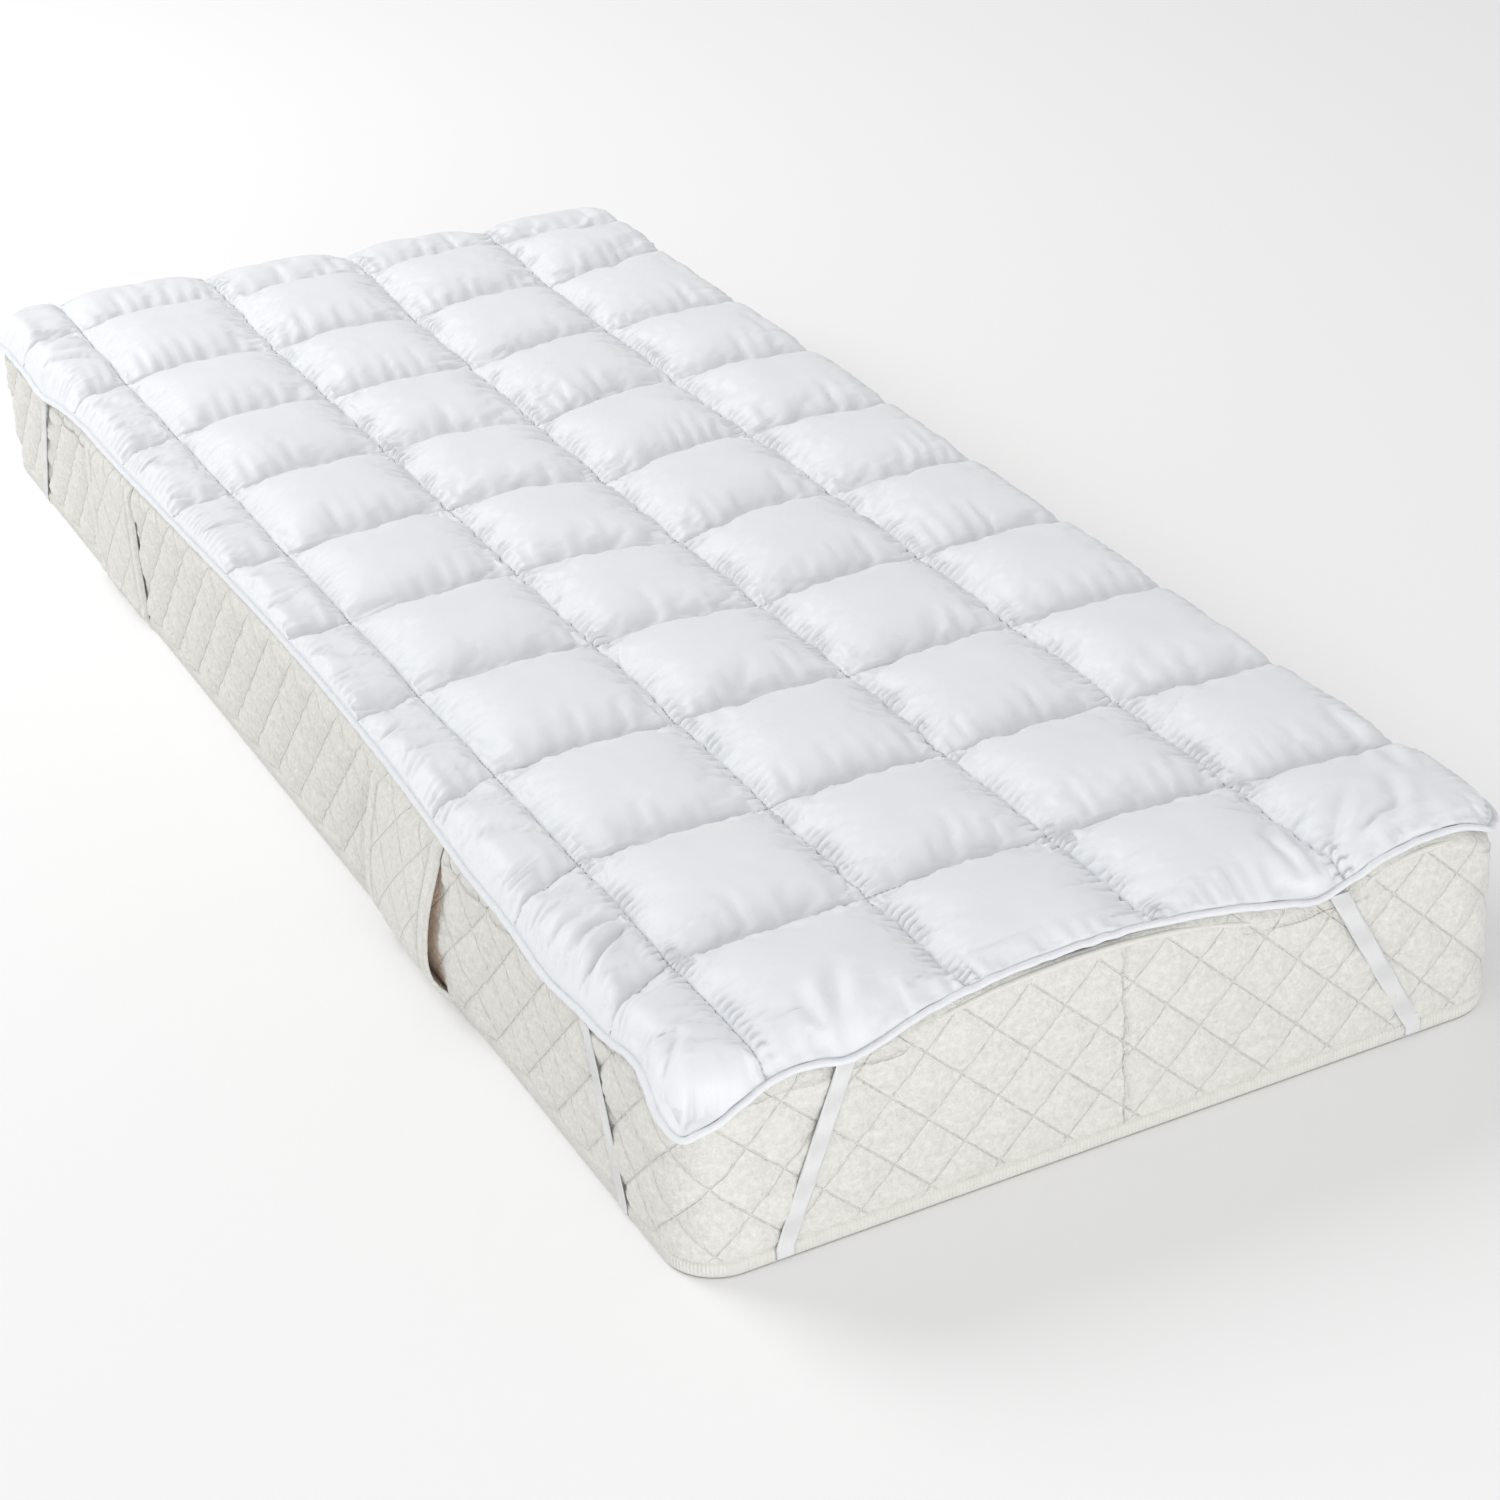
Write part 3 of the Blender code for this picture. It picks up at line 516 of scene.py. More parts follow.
def new_mesh(name, points, faces, material, smooth=True):
    """A new object at the origin from an array of points and an array of three- or four-sided faces."""
    points = np.asarray(points, dtype=np.float32)
    faces = np.asarray(faces, dtype=np.int32)
    mesh = bpy.data.meshes.new(name)
    mesh.vertices.add(len(points))
    mesh.vertices.foreach_set("co", points.ravel())
    mesh.loops.add(faces.size)
    mesh.loops.foreach_set("vertex_index", faces.ravel())
    mesh.polygons.add(len(faces))
    mesh.polygons.foreach_set("loop_start", np.arange(0, faces.size, faces.shape[1], dtype=np.int32))
    mesh.polygons.foreach_set("use_smooth", np.full(len(faces), smooth))
    mesh.update(calc_edges=True)
    mesh.validate()
    if material is not None:
        mesh.materials.append(material)
    obj = bpy.data.objects.new(name, mesh)
    bpy.context.scene.collection.objects.link(obj)
    return obj


def grid_faces(rows, columns, wrap_rows=False, wrap_columns=False, flip=False):
    """Four-sided faces of a grid of rows by columns points, closed round either way if it wraps."""
    index = np.arange(rows * columns).reshape(rows, columns)
    if wrap_rows:
        index = np.concatenate([index, index[:1]], axis=0)
    if wrap_columns:
        index = np.concatenate([index, index[:, :1]], axis=1)
    quads = np.stack([index[:-1, :-1], index[:-1, 1:], index[1:, 1:], index[1:, :-1]], axis=-1)
    quads = quads.reshape(-1, 4)
    return quads[:, ::-1] if flip else quads


# Shape of the mattress and of the pad on it


def rounded_distance(x, y, half_x, half_y, radius):
    """How far a plan point lies inside a rounded rectangle, negative outside it."""
    qx = np.abs(x) - (half_x - radius)
    qy = np.abs(y) - (half_y - radius)
    outside = np.hypot(np.maximum(qx, 0), np.maximum(qy, 0))
    return radius - outside - np.minimum(np.maximum(qx, qy), 0)


def head_roll(x, y):
    """How far in from the head end the top begins to roll down at x, and the share of it at a point."""
    reach = HEAD_ROLL[0] + (HEAD_ROLL[1] - HEAD_ROLL[0]) * np.clip(x / WIDTH + 0.5, 0, 1)
    reach = np.maximum(reach, TOP_EDGE_R)
    return reach, np.clip((y - (LENGTH / 2 - SIDE_INSET - reach)) / reach, 0, 1)


def head_drop(x, y, clear=0.0):
    """How far the mattress's top has fallen towards the head end, on a quarter ellipse."""
    reach, roll = head_roll(x, y)
    roll = roll * reach / (reach + clear)
    fall = np.minimum(reach - TOP_EDGE_R, HEAD_FALL)
    return fall * (1 - np.sqrt(1 - roll**2))


def seat_distance(x, y):
    """How far a plan point lies inside the mattress's side, negative outside it."""
    return rounded_distance(x, y, WIDTH / 2 - SIDE_INSET, LENGTH / 2 - SIDE_INSET, CORNER_R)


def mattress_top(x, y, clear):
    """Height of a surface that lies clear above the mattress's top, on a circle down to its side."""
    along = np.maximum(TOP_EDGE_R - seat_distance(x, y), 0)
    side = TOP_EDGE_R - np.sqrt(np.maximum((TOP_EDGE_R + clear) ** 2 - along**2, 0))
    return HEIGHT - side - head_drop(x, y, clear)


def edge_along(side, place):
    """Height of the bound edge along one side, and how far it lies outside the lip's rectangle."""
    places, heights, outs = np.array(EDGES[side]).T
    place = np.clip(place, places[0], places[-1])
    return smooth_interp(place, places, heights), smooth_interp(place, places, outs)


def edge_field(x, y):
    """The edge's height and outward shift at any plan point: the mean of the four sides' values, each
    weighed by a high power of its nearness."""
    weights = []
    heights = []
    outs = []
    for side in EDGES:
        long_side = side in ("left", "right")
        away = LIP_HALF_WIDTH - SIGN[side] * x if long_side else LIP_HALF_LENGTH - SIGN[side] * y
        height, out = edge_along(side, y if long_side else x)
        weights.append((SIDE_NEAR + np.maximum(away, 0)) ** -SIDE_POWER)
        heights.append(height)
        outs.append(out)
    weights = np.array(weights)
    weights = weights / weights.sum(axis=0)
    return (weights * heights).sum(axis=0), (weights * outs).sum(axis=0)


def mesh_lines(seams, fine, wide):
    """Mesh lines with each seam on one: a fine step apart beside it, a wide one in a cell's middle."""
    lines = []
    for start, end in zip(seams[:-1], seams[1:]):
        width = end - start
        edge_steps = int(round(FINE_REACH / fine))
        middle_steps = int(round((width - 2 * FINE_REACH) / wide))
        middle_steps += (2 * edge_steps + middle_steps) % SIM_STRIDE
        edge = np.linspace(0, FINE_REACH, edge_steps + 1)
        middle = np.linspace(FINE_REACH, width - FINE_REACH, middle_steps + 1)
        lines.append(start + np.concatenate([edge[:-1], middle, width - edge[-2:0:-1]]))
    return np.append(np.concatenate(lines), seams[-1])


def cell_rise(place, seams):
    """How far a point is up the pillow between its two seams, 0 to 1, the cell's width and its number: 1
    less a power of the distance from the cell's middle, all to a power."""
    cell = np.clip(np.searchsorted(seams, place, side="right") - 1, 0, len(seams) - 2)
    width = np.diff(seams)[cell]
    share = (place - seams[cell]) / width
    rise = np.maximum(1 - np.abs(2 * share - 1) ** PILLOW_FLAT, 0) ** PILLOW_FULL
    return rise, width, cell


def round_corner(x, y):
    """Draws a square corner's points onto a round one, each on its line from the corner's centre."""
    cx = LIP_HALF_WIDTH - PAD_CORNER_R
    cy = LIP_HALF_LENGTH - PAD_CORNER_R
    px = np.maximum(np.abs(x) - cx, 0)
    py = np.maximum(np.abs(y) - cy, 0)
    far = np.hypot(px, py)
    scale = np.where(far > 0, np.maximum(px, py) / np.where(far > 0, far, 1), 1)
    inside = (px > 0) & (py > 0)
    new_x = np.sign(x) * (cx + px * scale)
    new_y = np.sign(y) * (cy + py * scale)
    return np.where(inside, new_x, x), np.where(inside, new_y, y)


def ridges(place, across, pitch):
    """Gathers along a seam: a cosine wave of uneven pitch and height, that bends a little away from the
    seam. Its crests stand above the cloth and its valleys a little below."""
    (unevenness, long_pitch), (bend, bend_pitch) = RIDGE_PHASE
    even, (short_change, short_pitch), (long_change, change_pitch), most = RIDGE_STRENGTH
    sharpness, sink = RIDGE_SHAPE
    phase = place / pitch + unevenness * value_noise(place, long_pitch * pitch)
    phase = phase + bend * across * value_noise(place, bend_pitch * pitch)
    wave = 0.5 + 0.5 * np.cos(2 * np.pi * phase)
    strength = even + short_change * value_noise(place, short_pitch * pitch)
    strength = strength + long_change * value_noise(place, change_pitch * pitch)
    return (wave**sharpness - sink) * np.clip(strength, 0, most)


def seam_puckers(flat_x, flat_y, columns, rows):
    """Height of the gathers: for each seam and side, ridges across it that grow from the seam and die
    away, as the distance in reaches times e to the power of 1 less that distance."""
    total = np.zeros(flat_x.shape)
    ways = {"column": (columns[1:-1], flat_x, flat_y, rows), "row": (rows[1:-1], flat_y, flat_x, columns)}
    gathered, gathering = FIRST_SEAM_GATHERED
    for runs, side, pitch, reach, height in PUCKERS:
        seams, across, along, others = ways[runs]
        for number, seam in enumerate(seams):
            away = side * (across - seam)
            grown = np.where(away > 0, away / reach * np.exp(1 - np.maximum(away, 0) / reach), 0)
            share = 1.0
            if runs == "column" and number == 0:
                near_foot = np.clip((gathered - along) / gathering, 0, 1)
                share = FIRST_SEAM_SHARE + (1 - FIRST_SEAM_SHARE) * near_foot
            # Gathers die out at the next seam, so that a crossing stays clean.
            place = np.clip(np.searchsorted(others, along) - 1, 0, len(others) - 2)
            inside = (along - others[place]) * (others[place + 1] - along)
            fade = np.clip(inside / CROSSING_FADE, 0, 1)
            total += share * height * grown * fade * ridges(along, away, pitch)
    for across, along, half, other in (
        (flat_x, flat_y, LIP_HALF_WIDTH, LIP_HALF_LENGTH),
        (flat_y, flat_x, LIP_HALF_LENGTH, LIP_HALF_WIDTH),
    ):
        corner = np.clip((other - np.abs(along)) / CORNER_FADE, 0, 1)
        for side in (-1, 1):
            away = half - side * across
            grown = away / EDGE_PUCKER_REACH * np.exp(1 - away / EDGE_PUCKER_REACH)
            total += EDGE_PUCKER_HEIGHT * corner * grown * ridges(along, away, EDGE_PUCKER_PITCH)
    return total


def crease_relief(x, y):
    """Depth of the large creases: a bell-shaped groove along a bent path, with a low bell-shaped roll
    beside it, fading at its ends."""
    total = np.zeros(x.shape)
    steps = np.linspace(0, 1, CREASE_STEPS)
    roll_height, roll_place, roll_width = CREASE_ROLL
    for row in CREASES:
        crease = dict(zip(CREASE_COLUMNS, row))
        start, bend, end = (np.array([crease["x" + k], crease["y" + k]]) for k in "012")
        path = np.outer((1 - steps) ** 2, start) + np.outer(2 * steps * (1 - steps), bend)
        path = path + np.outer(steps**2, end)
        reach = CREASE_REACH * CREASE_WIDTH * crease["width"]
        low = path.min(0) - reach
        high = path.max(0) + reach
        near = (x > low[0]) & (x < high[0]) & (y > low[1]) & (y < high[1])
        far = np.hypot(x[near][:, None] - path[:, 0], y[near][:, None] - path[:, 1])
        nearest = far.argmin(axis=1)
        away = far[np.arange(len(far)), nearest] / (CREASE_WIDTH * crease["width"])
        fade = np.sin(np.pi * (steps[nearest] * (1 - 2 * CREASE_TIP) + CREASE_TIP)) ** CREASE_FADE
        groove = -np.exp(-(away**2)) + roll_height * np.exp(-(((away - roll_place) / roll_width) ** 2))
        total[near] += CREASE_DEPTH * crease["depth"] * fade * groove
    return total


def pad_surfaces(flat_x, flat_y, columns, rows):
    """The pad's plan points, its underside and its smooth top: the underside lies on the mattress and
    clears its round edge, and the top is the seam's thickness above it plus each cell's pillow."""
    rise_x, width, column = cell_rise(flat_x, columns)
    rise_y, _, row = cell_rise(flat_y, rows)
    crown = np.where(width < NARROW_CELL, NARROW_CROWN, CROWN)
    crown = np.where(row == ROW_SEAMS, HEAD_ROW_CROWN, crown)
    vary, column_turn, row_turn = CROWN_VARIES
    crown = crown * (1 + vary * np.sin(column_turn * column + row_turn * row))
    crown = crown * (1 - FLAT_SHARE * np.clip(1 - row / FLAT_ROWS, 0, 1))
    inside = np.minimum(LIP_HALF_WIDTH - np.abs(flat_x), LIP_HALF_LENGTH - np.abs(flat_y))
    x = flat_x
    y = flat_y
    for side, outer in (("left", columns[1]), ("right", columns[-2])):
        places, slants = np.array(SLANTS[side]).T
        share = np.clip((flat_x - outer) / (SIGN[side] * LIP_HALF_WIDTH - outer), 0, 1)
        y = y + share * smooth_interp(flat_y, places, slants)
    edge_height, out = edge_field(flat_x, y)
    for values in SEAM_DRIFTS:
        drift = dict(zip(DRIFT_COLUMNS, values))
        far_x = (flat_x - drift["x"]) / drift["reach_x"]
        far_y = (flat_y - drift["y"]) / drift["reach_y"]
        share = np.exp(-(far_x**2) - far_y**2)
        x = x + drift["dx"] * share * np.clip((LIP_HALF_WIDTH - np.abs(flat_x)) / DRIFT_MARGIN, 0, 1)
        y = y + drift["dy"] * share * np.clip((LIP_HALF_LENGTH - np.abs(flat_y)) / DRIFT_MARGIN, 0, 1)
    # The seams wander a little, as hand-guided sewing does, and the gathers draw them from side to side.
    free = np.clip(inside / HELD_MARGIN, 0, 1)
    weak_until, growing, least = WANDER_GROWS
    across, along, short_across, short_along = (
        amount * surface_noise(flat_x, flat_y, pitch) * free for amount, pitch in WANDERS
    )
    x = x + across
    y = y + along
    x = x + short_across * np.clip((flat_x - weak_until) / growing, least, 1)
    y = y + short_along
    x, y = round_corner(x, y)
    pull = np.clip(1 - inside / OUTLINE_REACH, 0, 1) ** 2
    toward_x = np.clip(1 - (LIP_HALF_WIDTH - np.abs(flat_x)) / OUTLINE_REACH, 0, 1)
    toward_y = np.clip(1 - (LIP_HALF_LENGTH - np.abs(flat_y)) / OUTLINE_REACH, 0, 1)
    size = np.maximum(np.hypot(toward_x, toward_y), TINY)
    x = x + np.sign(flat_x) * out * pull * toward_x / size
    y = y + np.sign(flat_y) * out * pull * toward_y / size
    seat = seat_distance(x, y)
    over_side = np.sqrt(np.clip(1 - seat / (TOP_EDGE_R + EDGE_MARGIN), 0, 1))
    reach, _ = head_roll(x, y)
    over_head = np.clip((y + EDGE_MARGIN - (LENGTH / 2 - SIDE_INSET - reach)) / EDGE_MARGIN, 0, 1)
    clear = GAP + EDGE_CLEARANCE * over_side + HEAD_CLEARANCE * over_head
    rest = mattress_top(x, y, clear)
    lift = np.maximum(edge_height - LIP_THICKNESS / 2 - rest, 0)
    near_edge = np.clip(1 - inside / LIFT_REACH, 0, 1)
    low = rest + lift * near_edge**LIFT_CURVE
    low = np.where(seat < -clear, edge_height - LIP_THICKNESS / 2, low)
    high = low + LIP_THICKNESS + (SEAM_THICKNESS - LIP_THICKNESS) * (1 - near_edge)
    high = high + crown * rise_x * rise_y
    return x, y, low, high


def swell(points, pinned):
    """Blender's Cloth on a grid of points: the seams and the edge are held, the cloth between them is
    cut a little too large and pressed from below. Returns each point's movement, capped by a hyperbolic
    tangent."""
    rows, columns = points.shape[:2]
    obj = new_mesh("cloth_rest", points.reshape(-1, 3), grid_faces(rows, columns), None)
    group = obj.vertex_groups.new(name="held")
    group.add(np.flatnonzero(pinned.ravel()).tolist(), 1.0, "REPLACE")
    cloth = obj.modifiers.new("cloth", "CLOTH")
    settings = cloth.settings
    settings.quality = 4
    settings.mass = 0.2
    settings.tension_stiffness = 12
    settings.compression_stiffness = 6
    settings.shear_stiffness = 4
    settings.bending_stiffness = 0.06
    settings.air_damping = 3
    settings.shrink_min = CLOTH_GROWTH
    settings.use_pressure = True
    settings.uniform_pressure_force = CLOTH_PRESSURE
    settings.vertex_group_mass = "held"
    settings.effector_weights.gravity = 0.0
    cloth.collision_settings.use_collision = False
    cloth.collision_settings.use_self_collision = False
    cloth.point_cache.frame_start = 1
    cloth.point_cache.frame_end = CLOTH_FRAMES
    scene = bpy.context.scene
    for number in range(1, CLOTH_FRAMES + 1):
        scene.frame_set(number)
    result = obj.evaluated_get(bpy.context.evaluated_depsgraph_get())
    moved = np.empty(len(result.data.vertices) * 3, dtype=np.float32)
    result.data.vertices.foreach_get("co", moved)
    scene.frame_set(1)
    bpy.data.objects.remove(obj, do_unlink=True)
    move = moved.reshape(points.shape) - points
    size = np.linalg.norm(move, axis=-1, keepdims=True)
    return move * (CLOTH_CAP * np.tanh(size / CLOTH_CAP) / np.maximum(size, TINY))


def upsample(move, stride, rows, columns):
    """Spreads the coarse grid's movement over the fine grid, evenly between its points both ways."""
    for axis, count in enumerate((rows, columns)):
        place = np.arange(count) / stride
        low = np.minimum(place.astype(int), move.shape[axis] - 2)
        share = np.expand_dims(place - low, (1 - axis, 2))
        move = np.take(move, low, axis) * (1 - share) + np.take(move, low + 1, axis) * share
    return move


# Materials


def new_group(name, inputs, output, output_type):
    """A new node group with its inputs, from a dictionary of numbers or colours, and its one output.
    Returns it with its inlet and outlet."""
    group = bpy.data.node_groups.new(name, "ShaderNodeTree")
    for label, value in inputs.items():
        kind = "NodeSocketFloat" if isinstance(value, float) else "NodeSocketColor"
        socket = group.interface.new_socket(label, in_out="INPUT", socket_type=kind)
        socket.default_value = value
    group.interface.new_socket(output, in_out="OUTPUT", socket_type=output_type)
    return group, group.nodes.new("NodeGroupInput"), group.nodes.new("NodeGroupOutput")


def add_node(tree, kind, values=None, **settings):
    """Adds a node with its settings, and with its inputs given as numbers or linked from sockets."""
    node = tree.nodes.new(kind)
    for setting, value in settings.items():
        setattr(node, setting, value)
    for label, value in (values or {}).items():
        if isinstance(value, bpy.types.NodeSocket):
            tree.links.new(value, node.inputs[label])
        else:
            node.inputs[label].default_value = value
    return node


def add_colour_mix(tree, factor, first, second):
    """Adds a mix of two colours and returns its result."""
    values = {"Factor": factor, "A": first, "B": second}
    return add_node(tree, "ShaderNodeMix", values, data_type="RGBA").outputs["Result"]


def group_weave():
    """A node group that gives a bump for woven cloth: the higher of two crossed waves of fine threads,
    under soft uneven noise."""
    inputs = {"Thread Scale": 900.0, "Thread Height": 0.3, "Slub Scale": 60.0, "Slub Height": 0.2}
    group, inlet, outlet = new_group("cloth_bump", inputs, "Normal", "NodeSocketVector")
    place = add_node(group, "ShaderNodeTexCoord").outputs["Object"]
    threads = []
    for direction in "XY":
        values = {"Vector": place, "Scale": inlet.outputs["Thread Scale"], "Distortion": 1.5}
        threads.append(add_node(group, "ShaderNodeTexWave", values, bands_direction=direction).outputs["Fac"])
    cross = add_node(group, "ShaderNodeMath", dict(enumerate(threads)), operation="MAXIMUM")
    values = {"Vector": place, "Scale": inlet.outputs["Slub Scale"], "Detail": 4.0}
    slub = add_node(group, "ShaderNodeTexNoise", values)
    values = {"Distance": 0.0003, "Height": cross.outputs[0], "Strength": inlet.outputs["Thread Height"]}
    fine = add_node(group, "ShaderNodeBump", values)
    values = {"Distance": 0.002, "Height": slub.outputs["Fac"], "Strength": inlet.outputs["Slub Height"]}
    values["Normal"] = fine.outputs["Normal"]
    soft = add_node(group, "ShaderNodeBump", values)
    group.links.new(soft.outputs["Normal"], outlet.inputs["Normal"])
    return group


def group_tint():
    """A node group that gives a cloth's colour: two close shades mixed by noise at one scale."""
    inputs = {"Light": (0.8, 0.8, 0.8, 1.0), "Dark": (0.7, 0.7, 0.7, 1.0), "Scale": 30.0}
    group, inlet, outlet = new_group("cloth_tint", inputs, "Color", "NodeSocketColor")
    place = add_node(group, "ShaderNodeTexCoord").outputs["Object"]
    values = {"Vector": place, "Scale": inlet.outputs["Scale"], "Detail": 5.0, "Roughness": 0.65}
    noise = add_node(group, "ShaderNodeTexNoise", values)
    values = {"Value": noise.outputs["Fac"], "From Min": 0.35, "From Max": 0.65}
    spread = add_node(group, "ShaderNodeMapRange", values)
    mix = add_colour_mix(group, spread.outputs["Result"], inlet.outputs["Dark"], inlet.outputs["Light"])
    group.links.new(mix, outlet.inputs["Color"])
    return group


def group_quilting():
    """A node group that marks the sewn lines of the cover, 0 to 1. It reads the quilt attribute: the
    place along the border, the height, and how far the quilting shows. A line lies wherever place +
    height or place - height is a whole number of diamonds from its start."""
    inputs = {
        "Diamond": DIAMOND,
        "Start Rising": DIAMOND_START[0],
        "Start Falling": DIAMOND_START[1],
        "Line Width": LINE_WIDTH,
        "Joint Place": BORDER_SEAM_X,
        "Joint Widening": JOINT_WIDENING,
    }
    group, inlet, outlet = new_group("cover_quilting", inputs, "Line", "NodeSocketFloat")
    attribute = add_node(group, "ShaderNodeAttribute", attribute_name="quilt")
    parts = add_node(group, "ShaderNodeSeparateXYZ", {"Vector": attribute.outputs["Vector"]})

    def math(operation, first, second):
        return add_node(group, "ShaderNodeMath", {0: first, 1: second}, operation=operation).outputs[0]

    place, height, shown = (parts.outputs[axis] for axis in "XYZ")
    half = math("MULTIPLY", inlet.outputs["Diamond"], 0.5)
    rising = math("SUBTRACT", math("ADD", place, height), inlet.outputs["Start Rising"])
    falling = math("SUBTRACT", math("SUBTRACT", place, height), inlet.outputs["Start Falling"])
    sewn = math("MINIMUM", math("PINGPONG", rising, half), math("PINGPONG", falling, half))
    joint = math("ABSOLUTE", math("SUBTRACT", place, inlet.outputs["Joint Place"]), 0.0)
    joint = math("DIVIDE", joint, inlet.outputs["Joint Widening"])
    nearest = math("DIVIDE", math("MINIMUM", sewn, joint), inlet.outputs["Line Width"])
    values = {"Value": nearest, "To Min": 1.0, "To Max": 0.0}
    spread = add_node(group, "ShaderNodeMapRange", values, interpolation_type="SMOOTHSTEP")
    group.links.new(math("MULTIPLY", spread.outputs["Result"], shown), outlet.inputs["Line"])
    return group


WEAVE = group_weave()
TINT = group_tint()


def cloth_material(name, light, dark, tint_scale, thread, slub, roughness, sheen):
    """A woven cloth: a two-shade tint and a weave bump on a soft shader with sheen. thread and slub are
    each a scale and a height."""
    material = bpy.data.materials.new(name)
    material.use_nodes = True
    tree = material.node_tree
    shader = tree.nodes["Principled BSDF"]
    shader.inputs["Roughness"].default_value = roughness
    shader.inputs["Sheen Weight"].default_value = sheen
    shader.inputs["Sheen Roughness"].default_value = SHEEN_ROUGHNESS
    values = {"Light": (*light, 1.0), "Dark": (*dark, 1.0), "Scale": tint_scale}
    tint = add_node(tree, "ShaderNodeGroup", values, node_tree=TINT)
    values = dict(zip(("Thread Scale", "Thread Height", "Slub Scale", "Slub Height"), thread + slub))
    weave = add_node(tree, "ShaderNodeGroup", values, node_tree=WEAVE)
    tree.links.new(tint.outputs["Color"], shader.inputs["Base Color"])
    tree.links.new(weave.outputs["Normal"], shader.inputs["Normal"])
    return material


def quilted(material, painted_shade):
    """Adds the cover's sewn lines to a cloth material: a groove bump, and painted shade along it. Where the
    attribute that marks the near loop's slit is 1, a beige tone painted for the shade there shows instead."""
    tree = material.node_tree
    shader = tree.nodes["Principled BSDF"]
    line = add_node(tree, "ShaderNodeGroup", node_tree=group_quilting()).outputs["Line"]
    painted_slit = add_node(tree, "ShaderNodeAttribute", attribute_name="painted_slit").outputs["Fac"]
    cloth = shader.inputs["Base Color"].links[0].from_socket
    normal = shader.inputs["Normal"].links[0].from_socket
    # Painted shade: the cloth's colour darkens along the sewn lines, where the grooves' shadow would fall.
    sewn = add_colour_mix(tree, line, cloth, (*painted_shade, 1.0))
    # Painted shade: a beige tone over the near loop's slit, standing in for the shade there.
    with_painted_slit = add_colour_mix(tree, painted_slit, sewn, (*PAINTED_SLIT_SHADE, 1.0))
    values = {"Distance": LINE_DEPTH, "Strength": 1.0, "Height": line, "Normal": normal}
    groove = add_node(tree, "ShaderNodeBump", values, invert=True)
    tree.links.new(groove.outputs["Normal"], shader.inputs["Normal"])
    tree.links.new(with_painted_slit, shader.inputs["Base Color"])
    return material


# Each cloth: its light and dark shade, the tint's scale, the scale and height of its threads and of its
# slubs, its roughness and its sheen.
PAD_CLOTH = cloth_material(
    "pad_cloth", (0.845, 0.862, 0.885), (0.825, 0.845, 0.872), 18.0, (700.0, 0.12), (45.0, 0.25), 0.55, 0.15
)
TAPE = cloth_material(
    "binding_tape", (0.84, 0.858, 0.885), (0.80, 0.82, 0.85), 120.0, (800.0, 0.3), (140.0, 0.3), 0.6, 0.1
)
KNIT = cloth_material(
    "cover_knit", (0.80, 0.79, 0.75), (0.69, 0.68, 0.64), 170.0, (260.0, 0.5), (220.0, 1.0), 0.85, 0.1
)
COVER = quilted(KNIT, PAINTED_LINE_SHADE)
EDGE_TAPE = cloth_material(
    "cover_edge_tape", (0.80, 0.79, 0.745), (0.75, 0.74, 0.70), 90.0, (500.0, 0.5), (90.0, 0.3), 0.75, 0.1
)
ELASTIC = cloth_material(
    "elastic", (0.76, 0.765, 0.765), (0.735, 0.74, 0.74), 60.0, (420.0, 0.7), (120.0, 0.15), 0.7, 0.05
)
THREAD = cloth_material(
    "sewing_thread", (0.69, 0.71, 0.74), (0.59, 0.61, 0.65), 400.0, (900.0, 0.5), (300.0, 0.2), 0.6, 0.0
)


# The pad


def pad_seams():
    """The pad's seams across and along it, with its two edges."""
    columns = np.concatenate([[0], np.cumsum(COLUMN_WIDTHS), [2 * LIP_HALF_WIDTH]]) - LIP_HALF_WIDTH
    rows = -LIP_HALF_LENGTH + FOOT_ROW + ROW_PITCH * np.arange(ROW_SEAMS)
    return columns, np.concatenate([[-LIP_HALF_LENGTH], rows, [LIP_HALF_LENGTH]])


